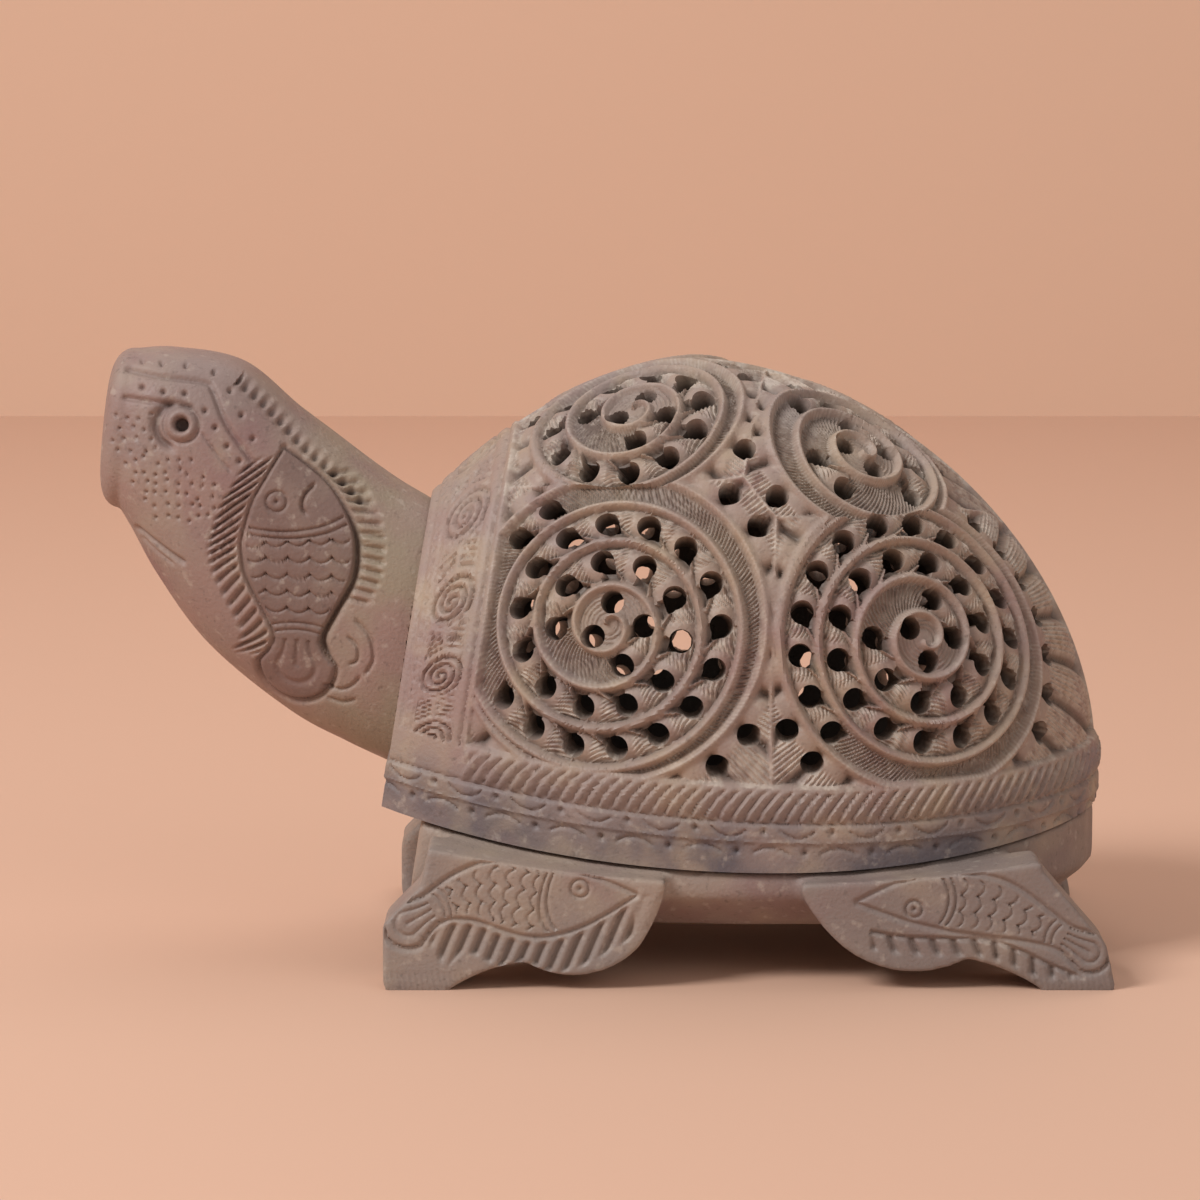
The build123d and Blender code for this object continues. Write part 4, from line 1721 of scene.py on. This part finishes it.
@dataclass
class FootedBase:
    """Base with belly, skirt and four legs, each carved with a fish on its outer face."""

    body: str = "base"
    node: str = "base"
    slot: str = "base_stone"
    grain: float = 0.8
    fine: float = 0.34
    coarse: float = 1.2
    rounds: int = 2
    ease_rounds: int = 6
    sole_height: float = 0.3
    face_y: float = 51.5
    face_fade: tuple[float, float] = (1.6, 0.5)
    face_margin: float = 1.2
    least_facing: float = 0.6
    legs_part: float = 25.0
    fish_foot: tuple[float, float] = (1.6, 3.4)
    stroke_pitch: float = 1.1
    stroke_slant: float = 0.25
    stroke_depth: float = 0.12
    stroke_top: tuple[float, float] = (4.2, 3.0)
    stroke_foot: tuple[float, float] = (0.2, 0.8)
    tint_fade: tuple[float, float] = (14.0, 4.0)
    stain_and_shade_fade: tuple[float, float] = (15.0, 60.0)
    rear_shade_share: float = 0.7
    front_fish: Fish = Fish(
        axis=((5.6, 18.4), (-3.0, 17.8), (-12.0, 17.2), (-21.0, 18.8), (-29.0, 17.6), (-37.5, 13.0)),
        half_width=6.8,
        eye_side=-1.0,
        eye_radius=1.7,
        scale_length=2.6,
        scale_width=3.4,
        depth=0.7,
        feathers=(
            Feathers(
                side=1, reach=8.0, pitch=3.1, slant=0.42, depth=1.15, start=0.0, end=0.97, straight=True
            ),
        ),
    )
    hind_fish: Fish = Fish(
        axis=((48.0, 17.0), (56.0, 17.4), (65.0, 17.2), (74.0, 15.8), (83.0, 12.2), (92.0, 7.4)),
        half_width=5.6,
        eye_side=-1.0,
        eye_radius=1.6,
        scale_length=3.0,
        scale_width=3.2,
        depth=0.6,
    )
    ledge: NotchedLedge = NotchedLedge(
        ((50.0, 11.4), (57.0, 10.3), (66.0, 10.0), (73.4, 9.6), (79.0, 7.6), (84.0, 5.2), (91.0, 2.2))
    )

    def carve(self, points: Array, normals: Array) -> Array:
        """Height of the carving at points of the base."""
        flat = points[:, (0, 2)]
        far, near = self.face_fade
        outer = smooth_step(self.face_y - far, self.face_y - near, np.abs(points[:, 1]))
        outer = outer * (np.abs(normals[:, 1]) > self.least_facing)
        front, _ = self.front_fish.carve(flat)
        hind, _ = self.hind_fish.carve(flat)
        hind = self.ledge.carve(hind, flat)
        height = np.where(flat[:, 0] < self.legs_part, front, hind)
        height = height * outer * smooth_step(*self.fish_foot, flat[:, 1])
        strokes = self.stroke_depth * waves(flat[:, 0] + self.stroke_slant * flat[:, 1], self.stroke_pitch)
        strokes = strokes * outer * smooth_step(*self.stroke_top, flat[:, 1])
        return height - strokes * smooth_step(*self.stroke_foot, flat[:, 1])

    def sizes(self, _: Array, points: Array) -> Array:
        """Wanted triangle size: fine on the outer faces of the legs, and coarse elsewhere."""
        outer = np.abs(points[:, 1]) > self.face_y - self.face_margin
        return np.where(outer, self.fine, self.coarse)

    def grained(self) -> Net:
        """Net of evenly sized triangles over a copy of the base's construction."""
        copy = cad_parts[self.node].copy()
        copy.data = copy.data.copy()
        bpy.context.scene.collection.objects.link(copy)
        remesh = copy.modifiers.new("grain", "REMESH")
        remesh.mode = "VOXEL"
        remesh.voxel_size = self.grain * MM
        bpy.context.view_layer.update()
        made = copy.evaluated_get(bpy.context.evaluated_depsgraph_get()).to_mesh()
        made.calc_loop_triangles()
        points = np.empty(3 * len(made.vertices), np.float32)
        made.vertices.foreach_get("co", points)
        triangles = np.empty(3 * len(made.loop_triangles), np.int32)
        made.loop_triangles.foreach_get("vertices", triangles)
        place = np.array(copy.matrix_world)
        points = points.reshape(-1, 3).astype(float) @ place[:3, :3].T + place[:3, 3]
        bpy.data.objects.remove(copy)
        return Net(points / MM, triangles.reshape(-1, 3).astype(np.int64))

    def build(self) -> Stone:
        """Builds the base from a copy of its construction, with eased edges and carved legs."""
        net = self.grained()
        net.refine(lambda places: places, self.sizes, self.rounds)
        stone = Stone(net.places, net.triangles)
        low = stone.points.min(0)[2]
        sole = stone.points[:, 2] < low + self.sole_height
        stone.ease(self.ease_rounds)
        stone.points[sole, 2] = np.maximum(low, 0.0)
        stone.points[:, 2] = np.maximum(stone.points[:, 2], 0.0)
        stone.carve(self.carve(stone.points, stone.normals()))
        stone.points[:, 2] = np.maximum(stone.points[:, 2], 0.0)
        # Darker towards the floor.
        stone.shades["tint"] = smooth_step(*self.tint_fade, stone.points[:, 2])
        # Painted shade, darker towards the hind legs.
        stone.shades["stain_and_shade"] = self.rear_shade_share * smooth_step(*self.stain_and_shade_fade, stone.points[:, 0])
        return stone


@dataclass(frozen=True)
class Veil:
    """Noise of a scale, in waves a metre, as a share that rises to its top from low to high."""

    scale: float
    detail: float
    shift: float
    low: float
    high: float
    top: float = 1.0


@dataclass(frozen=True)
class Soapstone:
    """Satin soapstone with drifting patches, clouds and specks, painted shade in the hollows and pale dust in
    the cuts.
    """

    name: str
    ground: Colour
    patch: Colour
    cloud: Colour
    tint: Colour
    seed: float
    blush: Colour
    stain_and_shade: Colour = (0.17, 0.105, 0.09)
    dust: Colour = (0.53, 0.45, 0.38)
    shade_and_speck_share: float = 0.24
    patches: Veil = Veil(24.0, 3.0, 0.0, 0.40, 0.60)
    blushes: Veil = Veil(42.0, 4.0, 8.8, 0.52, 0.66, 0.75)
    tints: Veil = Veil(60.0, 3.0, 7.3, 0.30, 0.55)
    clouds: Veil = Veil(75.0, 4.0, 3.1, 0.48, 0.72, 0.8)
    stains_and_shade: Veil = Veil(90.0, 3.0, 1.7, 0.20, 0.50, 0.8)
    specks: Veil = Veil(800.0, 3.0, 5.7, 0.60, 0.76, 0.4)
    loose_dust: Veil = Veil(420.0, 4.0, 2.4, 0.60, 0.72, 0.35)
    cut_dust: Veil = Veil(500.0, 2.0, 4.4, 0.35, 0.60, 0.7)
    sheen: Veil = Veil(180.0, 3.0, 6.6, 0.30, 0.70)
    painted_hollow_shade: tuple[float, float, float] = (0.24, 0.80, 0.9)
    roughness: float = 0.58
    smoother: float = 0.1
    rougher: float = 0.12
    grain: tuple[float, float, float] = (1400.0, 5.0, 9.2)
    grain_strength: float = 0.4
    grain_distance: float = 0.0004

    def make(self) -> bpy.types.Material:
        """Builds the node material."""
        material = bpy.data.materials.new(self.name)
        material.use_nodes = True
        tree = material.node_tree
        shader = tree.nodes["Principled BSDF"]
        place = tree.nodes.new("ShaderNodeTexCoord").outputs["Object"]

        def noise(scale: float, detail: float, shift: float) -> Socket:
            """Noise of a scale, in waves a metre."""
            moved = tree.nodes.new("ShaderNodeMapping")
            moved.inputs["Location"].default_value = (self.seed + shift, shift, self.seed)
            tree.links.new(place, moved.inputs["Vector"])
            node = tree.nodes.new("ShaderNodeTexNoise")
            node.inputs["Scale"].default_value = scale
            node.inputs["Detail"].default_value = detail
            tree.links.new(moved.outputs["Vector"], node.inputs["Vector"])
            return node.outputs["Fac"]

        def ramp(value: Socket, low: float, high: float, top: float, bottom: float = 0.0) -> Socket:
            """Value that goes from bottom at low to top at high."""
            node = tree.nodes.new("ShaderNodeMapRange")
            node.inputs["From Min"].default_value = low
            node.inputs["From Max"].default_value = high
            node.inputs["To Min"].default_value = bottom
            node.inputs["To Max"].default_value = top
            tree.links.new(value, node.inputs["Value"])
            return node.outputs["Result"]

        def layer(veil: Veil) -> Socket:
            """Share that a veil has at each place."""
            return ramp(noise(veil.scale, veil.detail, veil.shift), veil.low, veil.high, veil.top)

        def product(first: Socket, second: Socket) -> Socket:
            """Product of two shares."""
            node = tree.nodes.new("ShaderNodeMath")
            node.operation = "MULTIPLY"
            tree.links.new(first, node.inputs[0])
            tree.links.new(second, node.inputs[1])
            return node.outputs["Value"]

        def shade(name: str) -> Socket:
            """Value that the mesh carries at each point."""
            node = tree.nodes.new("ShaderNodeAttribute")
            node.attribute_name = name
            return node.outputs["Fac"]

        def mix(share: Socket, first: Socket | Colour, second: Socket | Colour) -> Socket:
            """Mixture of two colours, each a colour or a socket."""
            node = tree.nodes.new("ShaderNodeMix")
            node.data_type = "RGBA"
            tree.links.new(share, node.inputs["Factor"])
            for socket, colour in ((node.inputs[6], first), (node.inputs[7], second)):
                if isinstance(colour, Socket):
                    tree.links.new(colour, socket)
                else:
                    socket.default_value = (*colour, 1.0)
            return node.outputs[2]

        # Dark colour for the specks and for the painted shade in the hollows.
        dark = tuple(self.shade_and_speck_share * part for part in self.ground)
        colour = mix(layer(self.patches), self.ground, self.patch)
        colour = mix(layer(self.blushes), colour, self.blush)
        # Tint: olive on the neck towards the shell, and darker towards the bottom of the shell's rim and of
        # the base.
        colour = mix(product(shade("tint"), layer(self.tints)), colour, self.tint)
        colour = mix(layer(self.clouds), colour, self.cloud)
        # Real stain inside the neck's fish, and painted shade towards the rear of the base.
        colour = mix(product(shade("stain_and_shade"), layer(self.stains_and_shade)), colour, self.stain_and_shade)
        colour = mix(layer(self.specks), colour, dark)
        colour = mix(layer(self.loose_dust), colour, self.dust)
        # Painted shade: darker in the carved hollows, down the hole walls and over the inside of the shell.
        colour = mix(ramp(shade("hollow"), *self.painted_hollow_shade), colour, dark)
        colour = mix(product(shade("dust"), layer(self.cut_dust)), colour, self.dust)
        tree.links.new(colour, shader.inputs["Base Color"])
        sheen = noise(self.sheen.scale, self.sheen.detail, self.sheen.shift)
        least, most = self.roughness - self.smoother, self.roughness + self.rougher
        roughness = ramp(sheen, self.sheen.low, self.sheen.high, most, least)
        tree.links.new(roughness, shader.inputs["Roughness"])
        bump = tree.nodes.new("ShaderNodeBump")
        bump.inputs["Strength"].default_value = self.grain_strength
        bump.inputs["Distance"].default_value = self.grain_distance
        tree.links.new(noise(*self.grain), bump.inputs["Height"])
        tree.links.new(bump.outputs["Normal"], shader.inputs["Normal"])
        return material


def make_piece(
    name: str, stone: Stone, material: bpy.types.Material, body: str, node: str
) -> bpy.types.Object:
    """Makes a Blender object of a stone and fits it to the frame.

    Args:
        name: Piece's name.
        stone: Its triangles in millimetres.
        material: Its finish.
        body: Body that it rides on.
        node: Node that it replaces.

    Returns:
        The object.
    """
    mesh = bpy.data.meshes.new(name)
    mesh.vertices.add(len(stone.points))
    mesh.vertices.foreach_set("co", (stone.points * MM).astype(np.float32).ravel())
    mesh.loops.add(3 * len(stone.triangles))
    mesh.loops.foreach_set("vertex_index", stone.triangles.astype(np.int32).ravel())
    mesh.polygons.add(len(stone.triangles))
    mesh.polygons.foreach_set("loop_start", np.arange(0, 3 * len(stone.triangles), 3, dtype=np.int32))
    mesh.update(calc_edges=True)
    mesh.validate()
    mesh.polygons.foreach_set("use_smooth", np.ones(len(mesh.polygons), bool))
    mesh.set_sharp_from_angle(angle=SHARP_ANGLE)
    for shade, values in stone.shades.items():
        mesh.attributes.new(shade, "FLOAT", "POINT").data.foreach_set("value", values.astype(np.float32))
    mesh.materials.append(material)
    piece = bpy.data.objects.new(name, mesh)
    bpy.context.scene.collection.objects.link(piece)
    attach(piece, body)
    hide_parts(node)
    log.info("%s: %d points, %d triangles", name, len(mesh.vertices), len(mesh.polygons))
    return piece


@dataclass(frozen=True)
class Lamp:
    """Square soft lamp: its place and size in metres, and its power in watts."""

    name: str
    place: tuple[float, float, float]
    size: float
    power: float


@dataclass
class Studio:
    """Pale floor and backdrop, soft lamps, and the camera at the photographed angle."""

    camera_place: tuple[float, float, float] = (-1.0, -957.0, 199.0)
    pitch_down: float = math.radians(7.8)
    lens: float = 145.8
    sensor: float = 36.0
    clip: tuple[float, float] = (0.01, 50.0)
    floor_colour: Colour = (0.69, 0.435, 0.315)
    backdrop_colour: Colour = (0.76, 0.50, 0.36)
    paper_roughness: float = 0.7
    depth: float = 1.06
    reach: float = 4.0
    aim: tuple[float, float, float] = (0.0, 0.0, 0.05)
    sky_colour: Colour = (1.0, 0.95, 0.91)
    sky_strength: float = 0.33
    lamps: tuple[Lamp, ...] = (
        Lamp("key_lamp", (-1.1, -0.75, 1.25), 0.6, 24.0),
        Lamp("fill_lamp", (1.1, -1.2, 0.7), 1.4, 5.0),
        Lamp("top_lamp", (0.1, 0.45, 1.3), 1.0, 4.0),
    )

    def build(self) -> None:
        """Builds the camera, the floor with its backdrop, the lamps and the sky."""
        self.make_camera()
        self.make_floor()
        self.make_lamps()

    def make_camera(self) -> None:
        """Places the camera."""
        data = bpy.data.cameras.new("camera")
        data.lens = self.lens
        data.sensor_width = self.sensor
        data.clip_start, data.clip_end = self.clip
        camera = bpy.data.objects.new("camera", data)
        camera.location = Vector(self.camera_place) * MM
        camera.rotation_euler = (0.5 * math.pi - self.pitch_down, 0.0, 0.0)
        bpy.context.scene.collection.objects.link(camera)
        bpy.context.scene.camera = camera

    def make_floor(self) -> None:
        """Lays the floor and stands the backdrop behind it."""
        side, back = self.reach, self.depth
        left, right = (-side, back, 0.0), (side, back, 0.0)
        self.make_sheet("floor", ((-side, -side, 0.0), (side, -side, 0.0), right, left), self.floor_colour)
        upright = (left, right, (side, back, side), (-side, back, side))
        self.make_sheet("backdrop", upright, self.backdrop_colour)

    def make_sheet(self, name: str, corners: Route, colour: Colour) -> None:
        """Makes a plain sheet of paper.

        Args:
            name: Name of the sheet.
            corners: Its four corners, in metres.
            colour: Its colour.
        """
        mesh = bpy.data.meshes.new(name)
        mesh.from_pydata(corners, [], [(0, 1, 2, 3)])
        material = bpy.data.materials.new(f"{name}_paper")
        material.use_nodes = True
        shader = material.node_tree.nodes["Principled BSDF"]
        shader.inputs["Base Color"].default_value = (*colour, 1.0)
        shader.inputs["Roughness"].default_value = self.paper_roughness
        mesh.materials.append(material)
        sheet = bpy.data.objects.new(name, mesh)
        bpy.context.scene.collection.objects.link(sheet)

    def make_lamps(self) -> None:
        """Hangs the lamps, each turned to the figure, and an even sky."""
        for lamp in self.lamps:
            data = bpy.data.lights.new(lamp.name, "AREA")
            data.size = lamp.size
            data.energy = lamp.power
            hung = bpy.data.objects.new(lamp.name, data)
            hung.location = lamp.place
            hung.rotation_euler = (Vector(self.aim) - hung.location).to_track_quat("-Z", "Y").to_euler()
            bpy.context.scene.collection.objects.link(hung)
        world = bpy.data.worlds.new("studio")
        bpy.context.scene.world = world
        world.use_nodes = True
        sky = world.node_tree.nodes["Background"]
        sky.inputs["Color"].default_value = (*self.sky_colour, 1.0)
        sky.inputs["Strength"].default_value = self.sky_strength


SHELL_STONE = Soapstone(
    name="shell_soapstone",
    ground=(0.35, 0.255, 0.20),
    patch=(0.30, 0.225, 0.20),
    cloud=(0.41, 0.31, 0.22),
    tint=(0.125, 0.105, 0.115),
    seed=1.0,
    blush=(0.30, 0.19, 0.17),
)
HEAD_STONE = Soapstone(
    name="head_soapstone",
    ground=(0.31, 0.20, 0.17),
    patch=(0.26, 0.185, 0.165),
    cloud=(0.33, 0.25, 0.20),
    tint=(0.30, 0.235, 0.17),
    seed=4.0,
    blush=(0.25, 0.145, 0.14),
)
BASE_STONE = Soapstone(
    name="base_soapstone",
    ground=(0.345, 0.26, 0.21),
    patch=(0.27, 0.215, 0.19),
    cloud=(0.38, 0.29, 0.215),
    tint=(0.26, 0.215, 0.195),
    seed=8.0,
    blush=(0.25, 0.155, 0.145),
    # Colour of the painted shade towards the rear of the base.
    stain_and_shade=(0.20, 0.15, 0.135),
)


def main() -> None:
    """Builds the figure and the studio, and reports each piece."""
    logging.basicConfig(level=logging.INFO, format="%(message)s", stream=sys.stdout)
    pieces = (
        ("openwork_shell", OpenworkShell(), SHELL_STONE),
        ("carved_head", HeadAndNeck(), HEAD_STONE),
        ("footed_base", FootedBase(), BASE_STONE),
    )
    for name, maker, finish in pieces:
        make_piece(name, maker.build(), finish.make(), maker.body, maker.node)
    Studio().build()
    scene = bpy.context.scene
    scene.view_settings.view_transform = "Standard"


if __name__ == "__main__":
    main()
